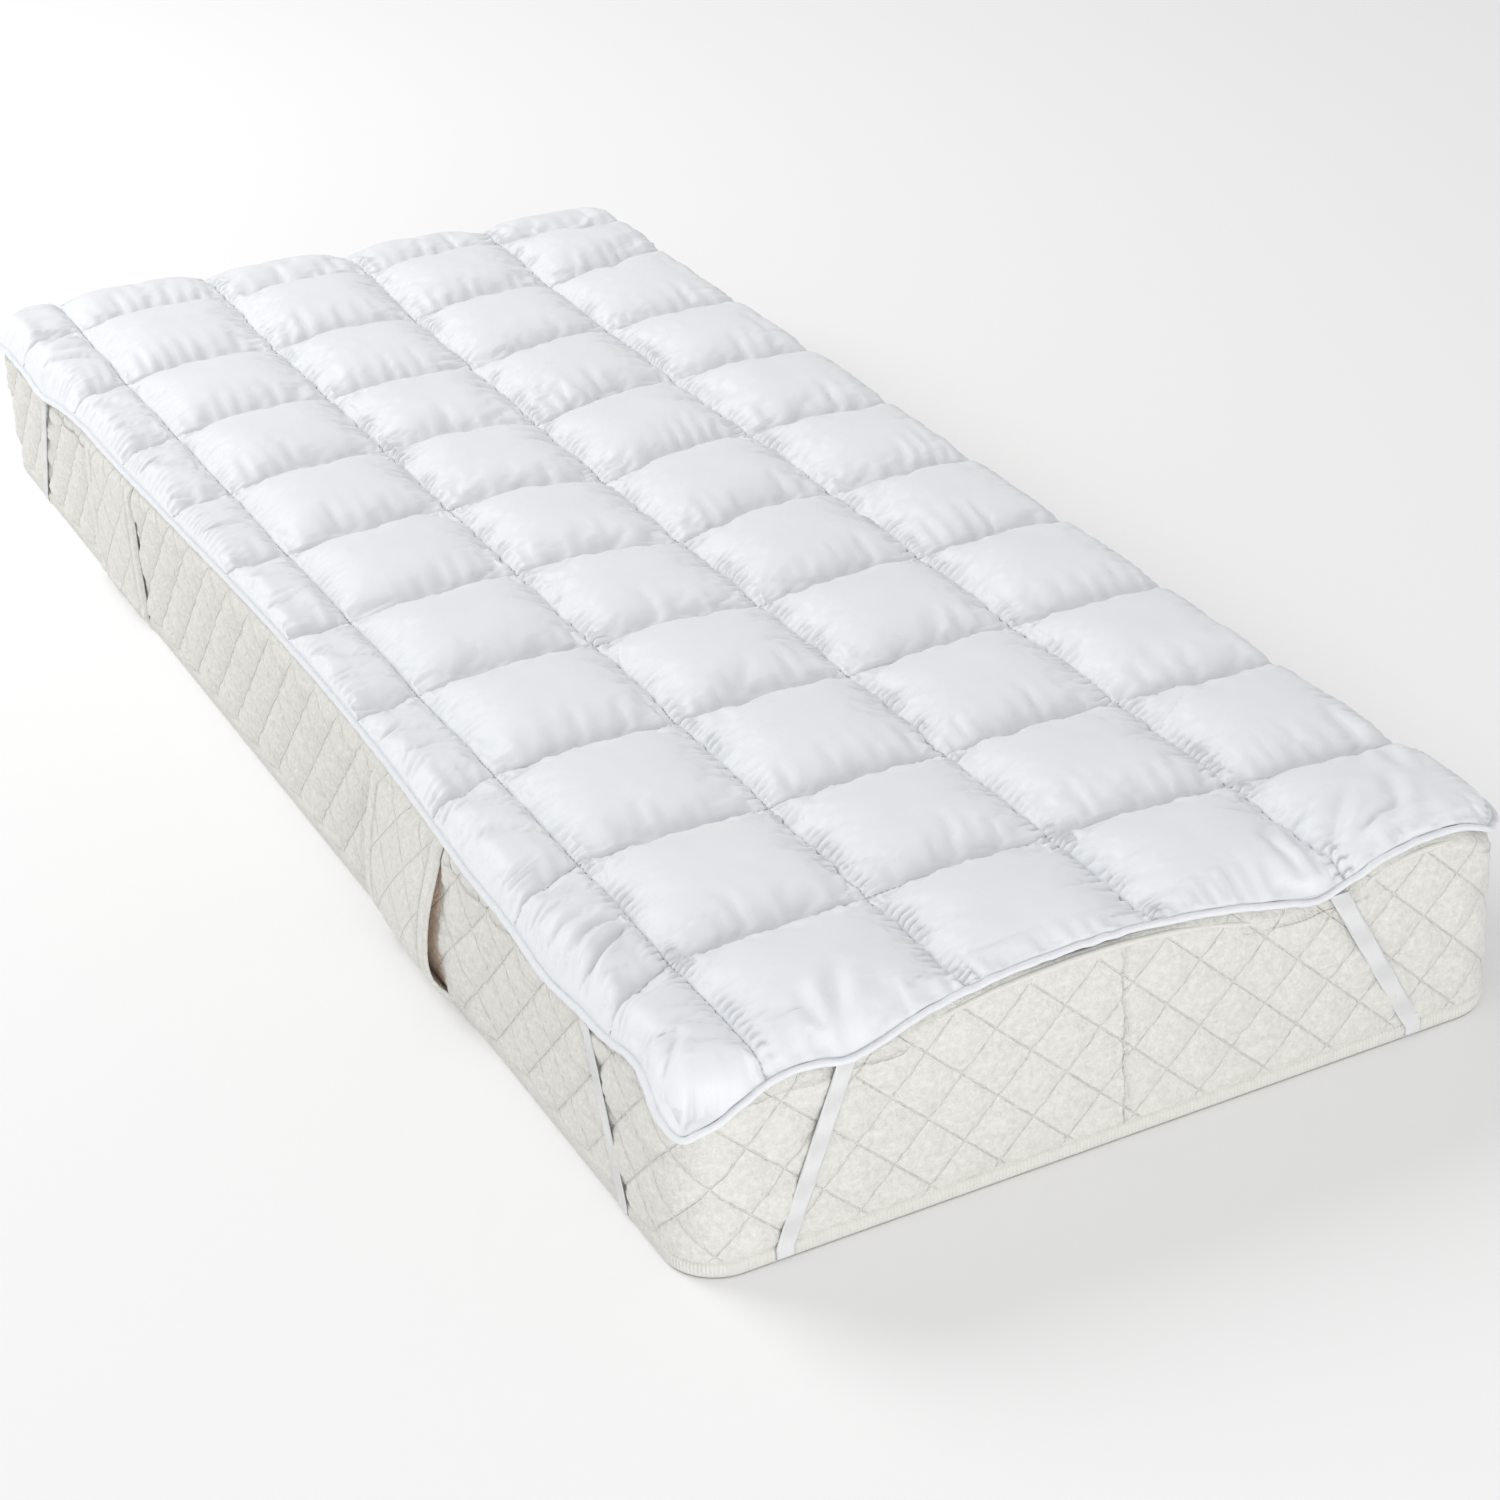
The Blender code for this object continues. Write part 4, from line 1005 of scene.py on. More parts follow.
def make_pad():
    """The pad's five columns of cells as closed padded pieces. Returns the lip's middle line, and the
    column seams' and the row seams' lines on the top."""
    columns, rows = pad_seams()
    across = mesh_lines(columns, FINE_STEP, WIDE_STEP)
    along = mesh_lines(rows, ROW_STEP, ROW_STEP)
    flat_x, flat_y = np.meshgrid(across, along)
    x, y, low, high = pad_surfaces(flat_x, flat_y, columns, rows)
    inside = np.minimum(LIP_HALF_WIDTH - np.abs(flat_x), LIP_HALF_LENGTH - np.abs(flat_y))
    inner_x = np.abs(flat_x[..., None] - columns[1:-1]).min(-1)
    inner_y = np.abs(flat_y[..., None] - rows[1:-1]).min(-1)
    from_inner_seam = np.minimum(inner_x, inner_y)
    from_seam = np.minimum(from_inner_seam, inside)
    relief = seam_puckers(flat_x, flat_y, columns, rows)
    # The creases stop at the inner seams and run on to the pad's edge.
    creases = crease_relief(x, y) * np.clip(from_inner_seam / CALM_REACH, 0, 1)
    creases = creases * np.clip(inside / CREASE_END, 0, 1)
    # Soft dents in the pillows, none on the seams.
    (large, large_pitch), (small, small_pitch) = DENTS
    dents = large * surface_noise(x, y, large_pitch)
    dents = dents + small * surface_noise(x * DENT_STRETCH, y, small_pitch)
    high = high + dents * np.clip(from_seam / CALM_REACH, 0, 1) + creases + relief
    top = np.stack([x, y, high], axis=-1)
    coarse = top[::SIM_STRIDE, ::SIM_STRIDE]
    held = from_seam[::SIM_STRIDE, ::SIM_STRIDE] < FINE_STEP / 2
    move = upsample(swell(coarse, held), SIM_STRIDE, *flat_x.shape)
    top = top + move * np.clip(from_seam / (2 * FINE_STEP), 0, 1)[..., None]
    under = np.stack([x, y, low], axis=-1)
    edges = [int(np.argmin(np.abs(across - seam))) for seam in columns]
    for number, (first, last) in enumerate(zip(edges[:-1], edges[1:]), start=1):
        upper = top[:, first : last + 1]
        picks = np.unique(np.append(np.arange(first, last, UNDER_STRIDE), last))
        lower = under[:, picks]
        points = np.concatenate([upper.reshape(-1, 3), lower.reshape(-1, 3)])
        start = upper.shape[0] * upper.shape[1]
        faces = [grid_faces(*upper.shape[:2]), grid_faces(*lower.shape[:2], flip=True) + start]
        upper_index = np.arange(start).reshape(upper.shape[:2])
        lower_index = np.arange(lower.shape[0] * lower.shape[1]).reshape(lower.shape[:2]) + start
        for upper_edge, lower_edge, turn in (
            (upper_index[:, 0], lower_index[:, 0], False),
            (upper_index[:, -1], lower_index[:, -1], True),
            (upper_index[0, picks - first], lower_index[0], True),
            (upper_index[-1, picks - first], lower_index[-1], False),
        ):
            wall = (upper_edge[:-1], upper_edge[1:], lower_edge[1:], lower_edge[:-1])
            wall = np.stack(wall, axis=-1)
            faces.append(wall[:, ::-1] if turn else wall)
        piece = new_mesh("pad_column_" + str(number), points, np.concatenate(faces), PAD_CLOTH)
        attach(piece, "root")
        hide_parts("pad")
    loop = [(0, slice(None, -1)), (slice(None, -1), -1), (-1, slice(None, 0, -1)), (slice(None, 0, -1), 0)]
    rim = np.concatenate([(top[part] + under[part]) / 2 for part in loop])
    column_lines = [top[:, index] for index in edges[1:-1]]
    row_lines = [top[int(np.argmin(np.abs(along - seam)))] for seam in rows[1:-1]]
    return rim, column_lines, row_lines


def resample(line, step, closed=False):
    """Points an even step apart along a line."""
    if closed:
        line = np.concatenate([line, line[:1]])
    length = np.concatenate([[0], np.cumsum(np.linalg.norm(np.diff(line, axis=0), axis=1))])
    count = max(int(round(length[-1] / step)), 3)
    at = np.linspace(0, length[-1], count + 1)
    points = np.stack([np.interp(at, length, line[:, k]) for k in range(3)], axis=1)
    return points[:-1] if closed else points


def make_binding(rim):
    """The binding: an uneven bead along the pad's lip, an ellipse at each point of it, with a groove
    where it is sewn on."""
    line = resample(rim, BINDING_STEP, closed=True)
    count = len(line)
    ahead = np.roll(line, -1, axis=0) - np.roll(line, 1, axis=0)
    ahead = ahead / np.linalg.norm(ahead, axis=1)[:, None]
    out = np.stack([ahead[:, 1], -ahead[:, 0], np.zeros(count)], axis=1)
    out = out / np.linalg.norm(out, axis=1)[:, None]
    up = np.cross(out, ahead)
    place = np.arange(count) * BINDING_STEP
    swelling = 1.0
    for amount, pitch in BINDING_WAVES:
        swelling = swelling + amount * value_noise(place, pitch)
    turns = np.linspace(0, 2 * np.pi, BINDING_SIDES, endpoint=False)
    groove_turn, groove_width = GROOVE_TURN
    groove = 1 - BINDING_GROOVE * np.exp(-(((turns - groove_turn) / groove_width) ** 2))
    radius = BINDING_R * swelling[:, None] * groove[None, :]
    amount, pitch = BINDING_LEVEL
    level = amount * value_noise(place, pitch)
    centre = line + out * BINDING_R * BINDING_STAND + up * level[:, None]
    ring_out = (radius * np.cos(turns))[..., None] * out[:, None, :]
    ring_up = (radius * BINDING_STRETCH * np.sin(turns))[..., None] * up[:, None, :]
    points = centre[:, None, :] + ring_out + ring_up
    piece = new_mesh("pad_bead", points.reshape(-1, 3), grid_faces(count, BINDING_SIDES, True, True), TAPE)
    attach(piece, "root")
    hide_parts("pad_binding")


def make_stitches(lines, lift, name, slant=0.0):
    """Sewing thread: a short low bar for each stitch along each line, lifted off it and sunk a little at
    its ends. With a slant every stitch crosses the seam, from one side and then from the other."""
    starts = []
    ends = []
    for line in lines:
        path = resample(line, STITCH_PITCH)
        step = path[1:] - path[:-1]
        across = np.cross(step, (0, 0, 1.0))
        across = across / np.linalg.norm(across, axis=1)[:, None]
        across = across * slant * np.where(np.arange(len(step)) % 2, 1, -1)[:, None]
        starts.append(path[:-1] + step * STITCH_START - across)
        ends.append(path[:-1] + step * (STITCH_START + STITCH_LENGTH / STITCH_PITCH) + across)
    start = np.concatenate(starts) + (0.0, 0.0, lift)
    end = np.concatenate(ends) + (0.0, 0.0, lift)
    ahead = end - start
    ahead = ahead / np.linalg.norm(ahead, axis=1)[:, None]
    side = np.cross(ahead, (0, 0, 1.0))
    side = side / np.linalg.norm(side, axis=1)[:, None]
    up = np.cross(side, ahead)
    corners = []
    for share, rise, size in STITCH_SECTIONS:
        middle = start + (end - start) * share + up * STITCH_R * rise
        for turn in np.radians(STITCH_TURNS):
            corners.append(middle + STITCH_R * size * (side * np.cos(turn) + up * np.sin(turn)))
    points = np.stack(corners, axis=1)
    index = np.arange(len(corners)).reshape(len(STITCH_SECTIONS), -1)
    after = np.roll(index, -1, axis=1)
    walls = np.stack([index[:-1], after[:-1], after[1:], index[1:]], axis=-1).reshape(-1, 4)
    faces = np.concatenate([walls, index[:1, ::-1], index[-1:]])
    base = (np.arange(len(start)) * len(corners))[:, None, None]
    piece = new_mesh(name, points.reshape(-1, 3), (faces[None] + base).reshape(-1, 4), THREAD)
    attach(piece, "root")


# The mattress


def perimeter(inset, count):
    """Plan points and outward directions an even share apart round the mattress at an inset, from the
    seam on the foot side, anticlockwise, and each one's distance round the full outline."""
    radius = CORNER_R - inset
    corner_x = WIDTH / 2 - inset - radius
    corner_y = LENGTH / 2 - inset - radius
    straight_x = 2 * corner_x
    straight_y = 2 * corner_y
    arc = np.pi / 2 * radius
    total = 2 * straight_x + 2 * straight_y + 4 * arc
    at = (np.linspace(0, 1, count, endpoint=False) * total + BORDER_SEAM_X + straight_x / 2) % total
    x, y, nx, ny = (np.zeros(count) for _ in range(4))
    begin = 0.0
    for length, cx, cy, turn in (
        (straight_x, corner_x, -corner_y, -90),
        (straight_y, corner_x, corner_y, 0),
        (straight_x, -corner_x, corner_y, 90),
        (straight_y, -corner_x, -corner_y, 180),
    ):
        angle = np.radians(turn)
        normal = np.array([np.cos(angle), np.sin(angle)])
        ahead = np.array([-normal[1], normal[0]])
        on = (at >= begin) & (at < begin + length)
        back = (at - begin - length)[on]
        x[on] = cx + normal[0] * radius + ahead[0] * back
        y[on] = cy + normal[1] * radius + ahead[1] * back
        nx[on] = normal[0]
        ny[on] = normal[1]
        begin += length
        on = (at >= begin) & (at < begin + arc)
        theta = angle + (at[on] - begin) / radius
        x[on] = cx + radius * np.cos(theta)
        y[on] = cy + radius * np.sin(theta)
        nx[on] = np.cos(theta)
        ny[on] = np.sin(theta)
        begin += arc
    return x, y, nx, ny, (at - straight_x / 2) % total, total


def diamond_waves(place, height):
    """The two sine waves of the quilting, each 0 on its sewn lines: the falling and the rising ones."""
    first = np.sin(np.pi * (place + height - DIAMOND_START[0]) / DIAMOND)
    second = np.sin(np.pi * (place - height - DIAMOND_START[1]) / DIAMOND)
    return first, second


def diamond_relief(place, height):
    """Bulge of the quilting, 0 to 1: each diamond between two pairs of sloping lines is a small pillow,
    the product of two sine waves to a power."""
    first, second = diamond_waves(place, height)
    return np.sqrt((first**2 + DIAMOND_SOFT) * (second**2 + DIAMOND_SOFT)) ** DIAMOND_FULL


def pad_lift(x, y):
    """How far the pad's edge stands above the mattress's top near a plan point, dying away inwards."""
    edge_height, _ = edge_field(x, y)
    inside = np.minimum(LIP_HALF_WIDTH - np.abs(x), LIP_HALF_LENGTH - np.abs(y))
    lift = edge_height - LIP_THICKNESS / 2 - HEIGHT
    return np.maximum(lift, 0) * np.clip(1 - inside / LIFT_REACH, 0, 1) ** LIFT_CURVE


def cover_edge(x, y):
    """The radius of the cover's top edge, and how far it is raised: small and raised where the pad's
    edge stands off the mattress, round and level where the pad lies over it."""
    lift = np.clip(pad_lift(x, y) / FULL_LIFT, 0, 1)
    return TOP_EDGE_R - (TOP_EDGE_R - COVER_EDGE_R) * lift, EDGE_RAISE * lift


def quilt_share(height, border_top, edge_height, raised):
    """How much the quilting stands out at a height, 0 to 1: none in the hem, none where the pad's edge
    lies over it, and none at a raised top edge."""
    above_hem = np.clip((height - HEM_HEIGHT) / HEM_FADE, 0, 1)
    below_pad = np.clip((edge_height - PAD_CLEAR - height) / PAD_FADE, 0, 1)
    below_piping = 1 - raised * (1 - np.clip((border_top - height) / PIPING_FADE, 0, 1))
    return above_hem * below_pad * below_piping


def add_quilt_marks(mesh, marks):
    """Stores each point's place along the border, its height and how far the quilting shows there."""
    layer = mesh.attributes.new("quilt", "FLOAT_VECTOR", "POINT")
    layer.data.foreach_set("vector", np.asarray(marks, dtype=np.float32).ravel())


def split_along_lines(quads, marks):
    """Splits each face of the border in two, along the diagonal that the nearer quilting line takes."""
    first, second = diamond_waves(marks[quads, 0].mean(axis=1), marks[quads, 1].mean(axis=1))
    rising = np.abs(first) < np.abs(second)
    a, b, c, d = quads.T
    lower = np.stack([a, b, np.where(rising, d, c)], axis=1)
    upper = np.stack([np.where(rising, b, a), c, d], axis=1)
    return np.concatenate([lower, upper])


def make_mattress():
    """The mattress: rings round the outline from the bottom up. Its side carries the diamond quilting
    between the hem and the top edge, which rounds in on a quarter circle under the pad, and the foot
    side shows the upright seam where the border's two ends meet."""
    count = BORDER_POINTS
    x, y, nx, ny, place, total = perimeter(SIDE_INSET, count)
    place = np.where(place > total / 2, place - total, place)
    left = x < 0
    radius, raised_top = cover_edge(x, y)
    border_top = HEIGHT - radius + raised_top
    edge_height, _ = edge_field(x, y)
    rings = []
    marks = []
    painted_slits = []
    fallen = head_drop(x, y)
    covered = np.zeros(count)
    for y_start, y_end, _, _ in LOOPS.values():
        begun = np.clip((y - y_start) / LOOP_FADE + 1, 0, 1)
        covered += begun * np.clip((y_end - y) / LOOP_FADE + 1, 0, 1) * left
    even_top = QUILT_ROWS * QUILT_STEP
    beside_loop = BULGE * np.exp(-(((y - BULGE_PLACE[0]) / BULGE_REACH[0]) ** 4)) * left
    from_joint = place - BORDER_SEAM_X
    joint = JOINT_DEPTH * np.exp(-(((from_joint - QUILT_STEP) / JOINT_REACH) ** 2))
    joint -= JOINT_RISE * np.exp(-((from_joint / JOINT_REACH) ** 2))
    near_start, near_end, _, _ = LOOPS["near"]
    # The side inside the near loop's mouth gets a painted beige tone for the shade in its slit.
    in_painted_slit = ((y > near_start) & (y < near_end - PAINTED_SLIT_STOP) & left).astype(float)
    slit_from, slit_to = PAINTED_SLIT_HEIGHTS
    hollow_depth, hollow_pitch = HOLLOW
    round_height, round_depth = BOTTOM_ROUND

    def quilting(level):
        span = quilt_share(level, border_top, edge_height, raised_top / EDGE_RAISE)
        rise = DIAMOND_RISE * diamond_relief(place, level) * span * (1 - LOOP_FLATTENS * covered)
        return span, rise, np.clip(QUILT_SHOWN * span, 0, 1)

    for row in range(QUILT_ROWS + EDGE_ROWS + 1):
        height = min(row, QUILT_ROWS) * QUILT_STEP
        height = height + (border_top - even_top) * max(row - QUILT_ROWS, 0) / EDGE_ROWS
        span, bulge, shown = quilting(height)
        beside = beside_loop * np.exp(-(((height - BULGE_PLACE[1]) / BULGE_REACH[1]) ** 2))
        bulge += beside - joint * np.clip((height - HEM_HEIGHT) / HEM_FADE, 0, 1)
        hollow = hollow_depth * surface_noise(place, height, hollow_pitch) * span
        bottom = np.maximum(round_height - height, 0) * round_depth
        out = bulge + hollow - bottom + SIDE_RELIEF
        squeeze = 1 - fallen / HEIGHT * (height / border_top)
        rings.append(np.stack([x + nx * out, y + ny * out, height * squeeze], axis=1))
        marks.append(np.stack([place, height, shown], axis=1))
        painted_slits.append(in_painted_slit * (height > slit_from) * (height < slit_to))
    for turn in np.radians(TOP_TURNS):
        level = border_top + radius * np.sin(turn)
        span, bulge, shown = quilting(level)
        inset = radius * (1 - np.cos(turn)) - (bulge + SIDE_RELIEF * np.cos(turn)) * np.cos(turn)
        rings.append(np.stack([x - nx * inset, y - ny * inset, level * (1 - fallen / HEIGHT)], axis=1))
        marks.append(np.stack([place, level, shown], axis=1))
    for inset, share in TOP_RINGS:
        reach = np.maximum(radius, inset)
        px = x - nx * reach
        py = y - ny * reach
        raised = np.minimum(raised_top * share, pad_lift(px, py))
        rings.append(np.stack([px, py, HEIGHT - head_drop(px, py) + raised], axis=1))
        marks.append(np.zeros((count, 3)))
    border = grid_faces(len(rings), count, False, True)
    # The top's and the underside's middles are closed by fans.
    ring = np.arange(count)
    after = (ring + 1) % count
    last = (len(rings) - 1) * count
    top_middle = len(rings) * count
    under = top_middle + 1
    sunk = under + count
    points = rings + [[(0, 0, HEIGHT)]]
    for across, along, level in UNDERSIDE:
        points.append(np.stack([x * across, y * along, np.full(count, level)], axis=1))
    points.append([(0, 0, UNDERSIDE[-1][2])])
    points = np.concatenate(points)
    faces = np.concatenate(
        [
            np.stack([ring, under + ring, under + after, after], axis=1),
            np.stack([under + ring, sunk + ring, sunk + after, under + after], axis=1),
        ]
    )
    triangles = np.concatenate(
        [
            split_along_lines(border, np.concatenate(marks)),
            np.stack([last + ring, last + after, np.full(count, top_middle)], axis=1),
            np.stack([sunk + after, sunk + ring, np.full(count, len(points) - 1)], axis=1),
        ]
    )
    mesh = bpy.data.meshes.new("mattress_cover")
    mesh.from_pydata(points.tolist(), [], faces.tolist() + triangles.tolist())
    mesh.polygons.foreach_set("use_smooth", np.ones(len(mesh.polygons), dtype=bool))
    mesh.update()
    mesh.materials.append(COVER)
    marks.append(np.zeros((len(points) - top_middle, 3)))
    add_quilt_marks(mesh, np.concatenate(marks))
    painted_slit = np.zeros(len(points), dtype=np.float32)
    painted_slit[: len(painted_slits) * count] = np.concatenate(painted_slits)
    mesh.attributes.new("painted_slit", "FLOAT", "POINT").data.foreach_set("value", painted_slit)
    piece = bpy.data.objects.new("mattress_cover", mesh)
    bpy.context.scene.collection.objects.link(piece)
    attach(piece, "root")
    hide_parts("mattress")


def make_hem():
    """The overlocked hem: a profile carried round the mattress's bottom edge, with a cosine rib for each
    loop of thread."""
    total = perimeter(0.0, 1)[-1]
    count = POINTS_PER_RIB * int(total / RIB_PITCH)
    x, y, nx, ny, _, _ = perimeter(0.0, count)
    rib = 0.5 + 0.5 * np.cos(2 * np.pi * np.arange(count) / POINTS_PER_RIB)
    rings = []
    for height, out, ribbed in HEM_PROFILE:
        off = out + RIB_RISE * ribbed * (rib - 0.5)
        rings.append(np.stack([x + nx * off, y + ny * off, np.full(count, height)], axis=1))
    faces = grid_faces(len(rings), count, False, True)
    piece = new_mesh("bottom_hem", np.concatenate(rings), faces, EDGE_TAPE)
    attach(piece, "root")


def make_piping():
    """The piping: a circle carried along the cover's top edge at the foot end, that shows where the
    pad's edge stands off it. It is uneven, and thins to nothing at its ends."""
    x = np.linspace(-PIPING_HALF_LENGTH, PIPING_HALF_LENGTH, PIPING_POINTS)
    y = np.full(len(x), -LENGTH / 2 + SIDE_INSET)
    edge_radius, raised = cover_edge(x, y)
    y = y + PIPING_SETBACK * raised / EDGE_RAISE
    level = HEIGHT - edge_radius + raised + PIPING_RISE
    taper = np.sqrt(np.clip((PIPING_HALF_LENGTH - np.abs(x)) / PIPING_TAPER, 0, 1))
    unevenness, pitch = PIPING_UNEVEN
    full_from, least = PIPING_THINS
    radius = PIPING_R * (1 + unevenness * value_noise(x, pitch)) * taper
    radius = radius * np.clip(raised / full_from, least, 1)
    rings = []
    for turn in np.linspace(0, 2 * np.pi, PIPING_SIDES, endpoint=False):
        rings.append(np.stack([x, y - radius * np.cos(turn), level + radius * np.sin(turn)], axis=1))
    piece = new_mesh("top_piping", np.concatenate(rings), grid_faces(len(rings), len(x), True), EDGE_TAPE)
    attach(piece, "root")


# Straps and carry loops


def strap_run(side, place_pad, place_hem):
    """Middle line of one standing end of a strap: place along the side, distance outside it, height."""
    half = LIP_HALF_LENGTH if side in ("foot", "head") else LIP_HALF_WIDTH
    full = LENGTH / 2 if side in ("foot", "head") else WIDTH / 2
    heights, outs = edge_along(side, place_pad + STRAP_WIDTH * np.array([-STRAP_SPAN, 0.0, STRAP_SPAN]))
    top = heights.min() - STRAP_TUCK
    on_hem = STRAP_THICKNESS / 2 + GAP
    top_out = max(half + outs[1] + BINDING_R + GAP - full, on_hem)
    under = STRAP_LIFT + STRAP_THICKNESS / 2
    return np.array(
        [
            (place_pad, top_out, top),
            ((place_pad + place_hem) / 2, (top_out + on_hem) / 2, (top + HEM_HEIGHT) / 2),
            (place_hem, on_hem, HEM_HEIGHT),
            (place_hem, on_hem, STRAP_BEND),
            (place_hem, -STRAP_BEND_IN, under),
            (place_hem, -STRAP_TURN, under),
        ]
    )


def make_strap(corner, row):
    """One elastic strap: a thin section carried along a line down the short side, under the corner and
    up the long side, thinner at its edges where it is stretched."""
    strap = dict(zip(STRAP_COLUMNS, row))
    sx = SIGN[corner[0]]
    sy = SIGN[corner[1]]
    short = strap_run(corner[1], *(sx * (WIDTH / 2 - strap[end]) for end in ("short_pad", "short_hem")))
    long = strap_run(corner[0], *(sy * (LENGTH / 2 - strap[end]) for end in ("long_pad", "long_hem")))
    on_short = np.column_stack([short[:, 0], sy * (LENGTH / 2 + short[:, 1]), short[:, 2]])
    on_long = np.column_stack([sx * (WIDTH / 2 + long[:, 1]), long[:, 0], long[:, 2]])
    centre = np.concatenate([on_short, on_long[::-1]])
    inward = np.repeat([(-sx, 0.0, 0.0), (0.0, -sy, 0.0)], (len(short), len(long)), axis=0)
    length = np.concatenate([[0], np.cumsum(np.linalg.norm(np.diff(centre, axis=0), axis=1))])
    at = np.linspace(0, length[-1], STRAP_STEPS)
    at = np.sort(np.concatenate([at, length[1:-1]]))
    line = np.stack([np.interp(at, length, centre[:, k]) for k in range(3)], axis=1)
    side = np.stack([np.interp(at, length, inward[:, k]) for k in range(3)], axis=1)
    side = side / np.linalg.norm(side, axis=1)[:, None]
    ahead = np.gradient(line, axis=0)
    ahead = ahead / np.linalg.norm(ahead, axis=1)[:, None]
    face = np.cross(ahead, side)
    face = face / np.linalg.norm(face, axis=1)[:, None]
    slant = np.linalg.norm(np.cross(ahead, side), axis=1)
    half = STRAP_WIDTH / 2 / np.maximum(slant, STRAP_LEAST_SLANT)
    shares = np.linspace(-1, 1, STRAP_LINES)
    flat, power, least = STRAP_SECTION
    thick = STRAP_THICKNESS / 2 * np.sqrt(np.clip(flat - shares**power, least, 1))
    outer = line[:, None, :] + side[:, None, :] * (half[:, None] * shares)[..., None]
    upper = outer + face[:, None, :] * thick[None, :, None]
    lower = outer - face[:, None, :] * thick[None, :, None]
    ring = np.concatenate([upper, lower[:, ::-1]], axis=1)
    name = "_".join(corner)
    faces = grid_faces(*ring.shape[:2], False, True)
    piece = new_mesh("elastic_" + name, ring.reshape(-1, 3), faces, ELASTIC)
    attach(piece, "root")
    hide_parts("strap_" + name)


def make_loop(name):
    """One carry loop: a slack quilted band, sewn at its top and bottom, with a smooth folded hem along
    its free edge. Its inner face stands off the side by a bow read from a table, and its outer face
    stands off that by the band's thickness, square to its slope."""
    y_start, y_end, bow_start, bow_end = LOOPS[name]
    table_z, table_share = np.array(LOOP_BOWS)[::-1].T
    heights = np.linspace(table_z[0], table_z[-1], LOOP_ROWS)
    shares = np.clip(smooth_interp(heights, table_z, table_share), 0, LOOP_MOST)
    along = np.linspace(0, 1, LOOP_LINES)
    y = y_start + (y_end - y_start) * along
    bow = LOOP_BOW * (bow_start + (bow_end - bow_start) * along)
    seat_z, seat_in = np.array(LOOP_SEAT).T
    above = np.maximum(heights - (HEIGHT - TOP_EDGE_R), 0)
    seat = np.interp(heights, seat_z, WIDTH / 2 - seat_in) - TOP_EDGE_R + np.sqrt(TOP_EDGE_R**2 - above**2)
    inner = seat[:, None] + GAP + bow[None, :] * shares[:, None]
    grid_y, grid_z = np.meshgrid(y, heights)
    slope = np.gradient(inner, heights, axis=0)
    size = np.sqrt(1 + slope**2)
    from_edge = np.minimum(grid_y - y_start, y_end - grid_y)
    quilt_rise, quilt_reach = LOOP_QUILT
    hem_rise, hem_reach = LOOP_FULL
    groove_depth, groove_reach = LOOP_GROOVE
    shown = np.clip((from_edge - LOOP_HEM) / quilt_reach, 0, 1)
    quilt = diamond_relief(-grid_y, grid_z) * shown
    hem = np.clip((LOOP_HEM - from_edge) / hem_reach, 0, 1)
    groove = np.exp(-(((from_edge - LOOP_HEM) / groove_reach) ** 2))
    rounded = np.sqrt(np.clip(1 - (1 - np.clip(from_edge / LOOP_EDGE_R, 0, 1)) ** 2, 0, 1))
    thick = LOOP_THICKNESS - quilt_rise + quilt_rise * quilt + hem_rise * hem - groove_depth * groove
    for thinnest, share in (
        (LOOP_EDGE_THIN, rounded),
        (LOOP_TOP_THIN, np.clip((table_z[-1] - grid_z) / LOOP_TOP_FADE, 0, 1)),
    ):
        thick = thick * (thinnest + (1 - thinnest) * share)
    inner_points = np.stack([-inner, grid_y, grid_z], axis=-1)
    outer_points = np.stack([-(inner + thick / size), grid_y, grid_z - thick * slope / size], axis=-1)
    points = np.concatenate([inner_points.reshape(-1, 3), outer_points.reshape(-1, 3)])
    under = LOOP_ROWS * LOOP_LINES
    index = np.arange(under).reshape(LOOP_ROWS, LOOP_LINES)
    border = np.concatenate([index[0, :-1], index[:-1, -1], index[-1, :0:-1], index[:0:-1, 0]])
    after = np.roll(border, -1)
    faces = np.concatenate(
        [
            grid_faces(LOOP_ROWS, LOOP_LINES),
            grid_faces(LOOP_ROWS, LOOP_LINES, flip=True) + under,
            np.stack([after, border, border + under, after + under], axis=-1),
        ]
    )
    piece = new_mesh("carry_loop_" + name, points, faces, COVER)
    marks = np.stack([-grid_y, grid_z, shown], axis=-1).reshape(-1, 3)
    add_quilt_marks(piece.data, np.concatenate([np.zeros(marks.shape), marks]))
    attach(piece, "root")
    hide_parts("loop_" + name)


# Floor, light and camera


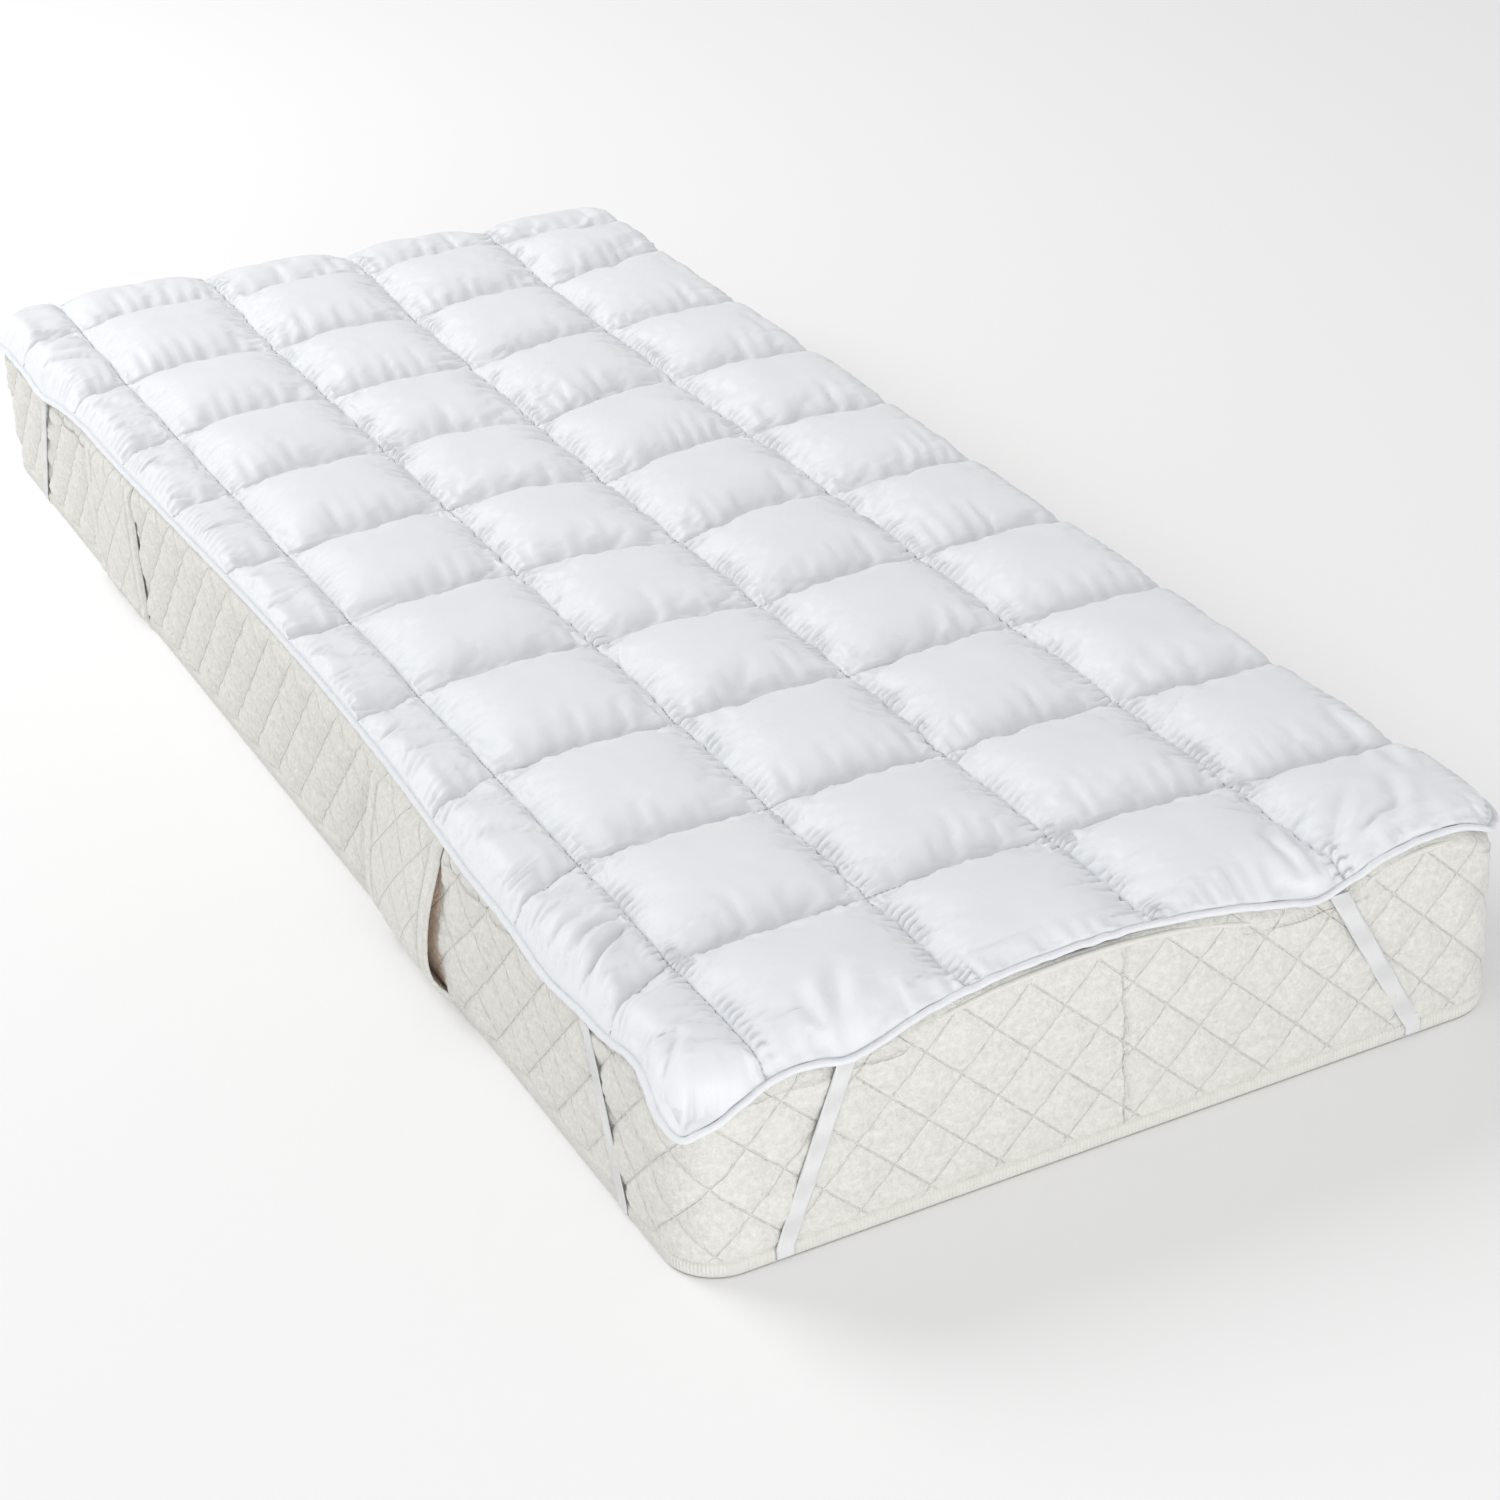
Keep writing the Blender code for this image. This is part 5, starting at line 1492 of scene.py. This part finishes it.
def put(name, data, columns):
    """A new object for a lamp or a camera, from its right, up and back directions and its place."""
    obj = bpy.data.objects.new(name, data)
    bpy.context.scene.collection.objects.link(obj)
    turn = np.eye(4)
    turn[:3] = np.array(columns).T
    obj.matrix_world = Matrix(turn.tolist())
    return obj


def make_studio():
    """A plain pale floor, a bright even world and two soft lamps."""
    floor_material = bpy.data.materials.new("floor")
    floor_material.use_nodes = True
    shader = floor_material.node_tree.nodes["Principled BSDF"]
    shader.inputs["Base Color"].default_value = (0.97, 0.97, 0.97, 1.0)
    shader.inputs["Roughness"].default_value = 0.9
    signs = ((-1, -1), (1, -1), (1, 1), (-1, 1))
    corners = [(x * FLOOR_REACH, y * FLOOR_REACH, FLOOR_LEVEL) for x, y in signs]
    floor = new_mesh("floor", corners, [(0, 1, 2, 3)], floor_material)
    world = bpy.data.worlds.new("studio")
    bpy.context.scene.world = world
    world.use_nodes = True
    world.node_tree.nodes["Background"].inputs["Color"].default_value = (1.0, 1.0, 1.0, 1.0)
    world.node_tree.nodes["Background"].inputs["Strength"].default_value = WORLD_STRENGTH
    bpy.context.scene.view_settings.view_transform = "Standard"
    for name, (place, target, size, power) in LAMPS.items():
        lamp = bpy.data.lights.new(name, "AREA")
        lamp.shape = "DISK"
        lamp.size = size
        lamp.energy = power
        aim = np.array(target) - np.array(place)
        back = -aim / np.linalg.norm(aim)
        side = np.cross((0, 0, 1.0), back)
        side = side / np.linalg.norm(side)
        put(name, lamp, (side, np.cross(back, side), back, place))


def make_camera():
    """The camera that the photograph was taken with, as fitted to it."""
    camera = bpy.data.cameras.new("camera")
    camera.lens = LENS
    camera.sensor_width = SENSOR
    camera.clip_end = 100.0
    right, down, ahead = np.array(CAMERA_ROWS)
    bpy.context.scene.camera = put("camera", camera, (right, -down, -ahead, EYE))


make_camera()
make_studio()
make_mattress()
make_hem()
make_piping()
pad_rim, pad_column_lines, pad_row_lines = make_pad()
make_binding(pad_rim)
make_stitches(pad_row_lines, ROW_STITCH_LIFT, "row_thread")
make_stitches(pad_column_lines, COLUMN_STITCH_LIFT, "column_thread", COLUMN_SLANT)
for strap_corner, strap_row in STRAPS.items():
    make_strap(strap_corner, strap_row)
for loop_name in LOOPS:
    make_loop(loop_name)
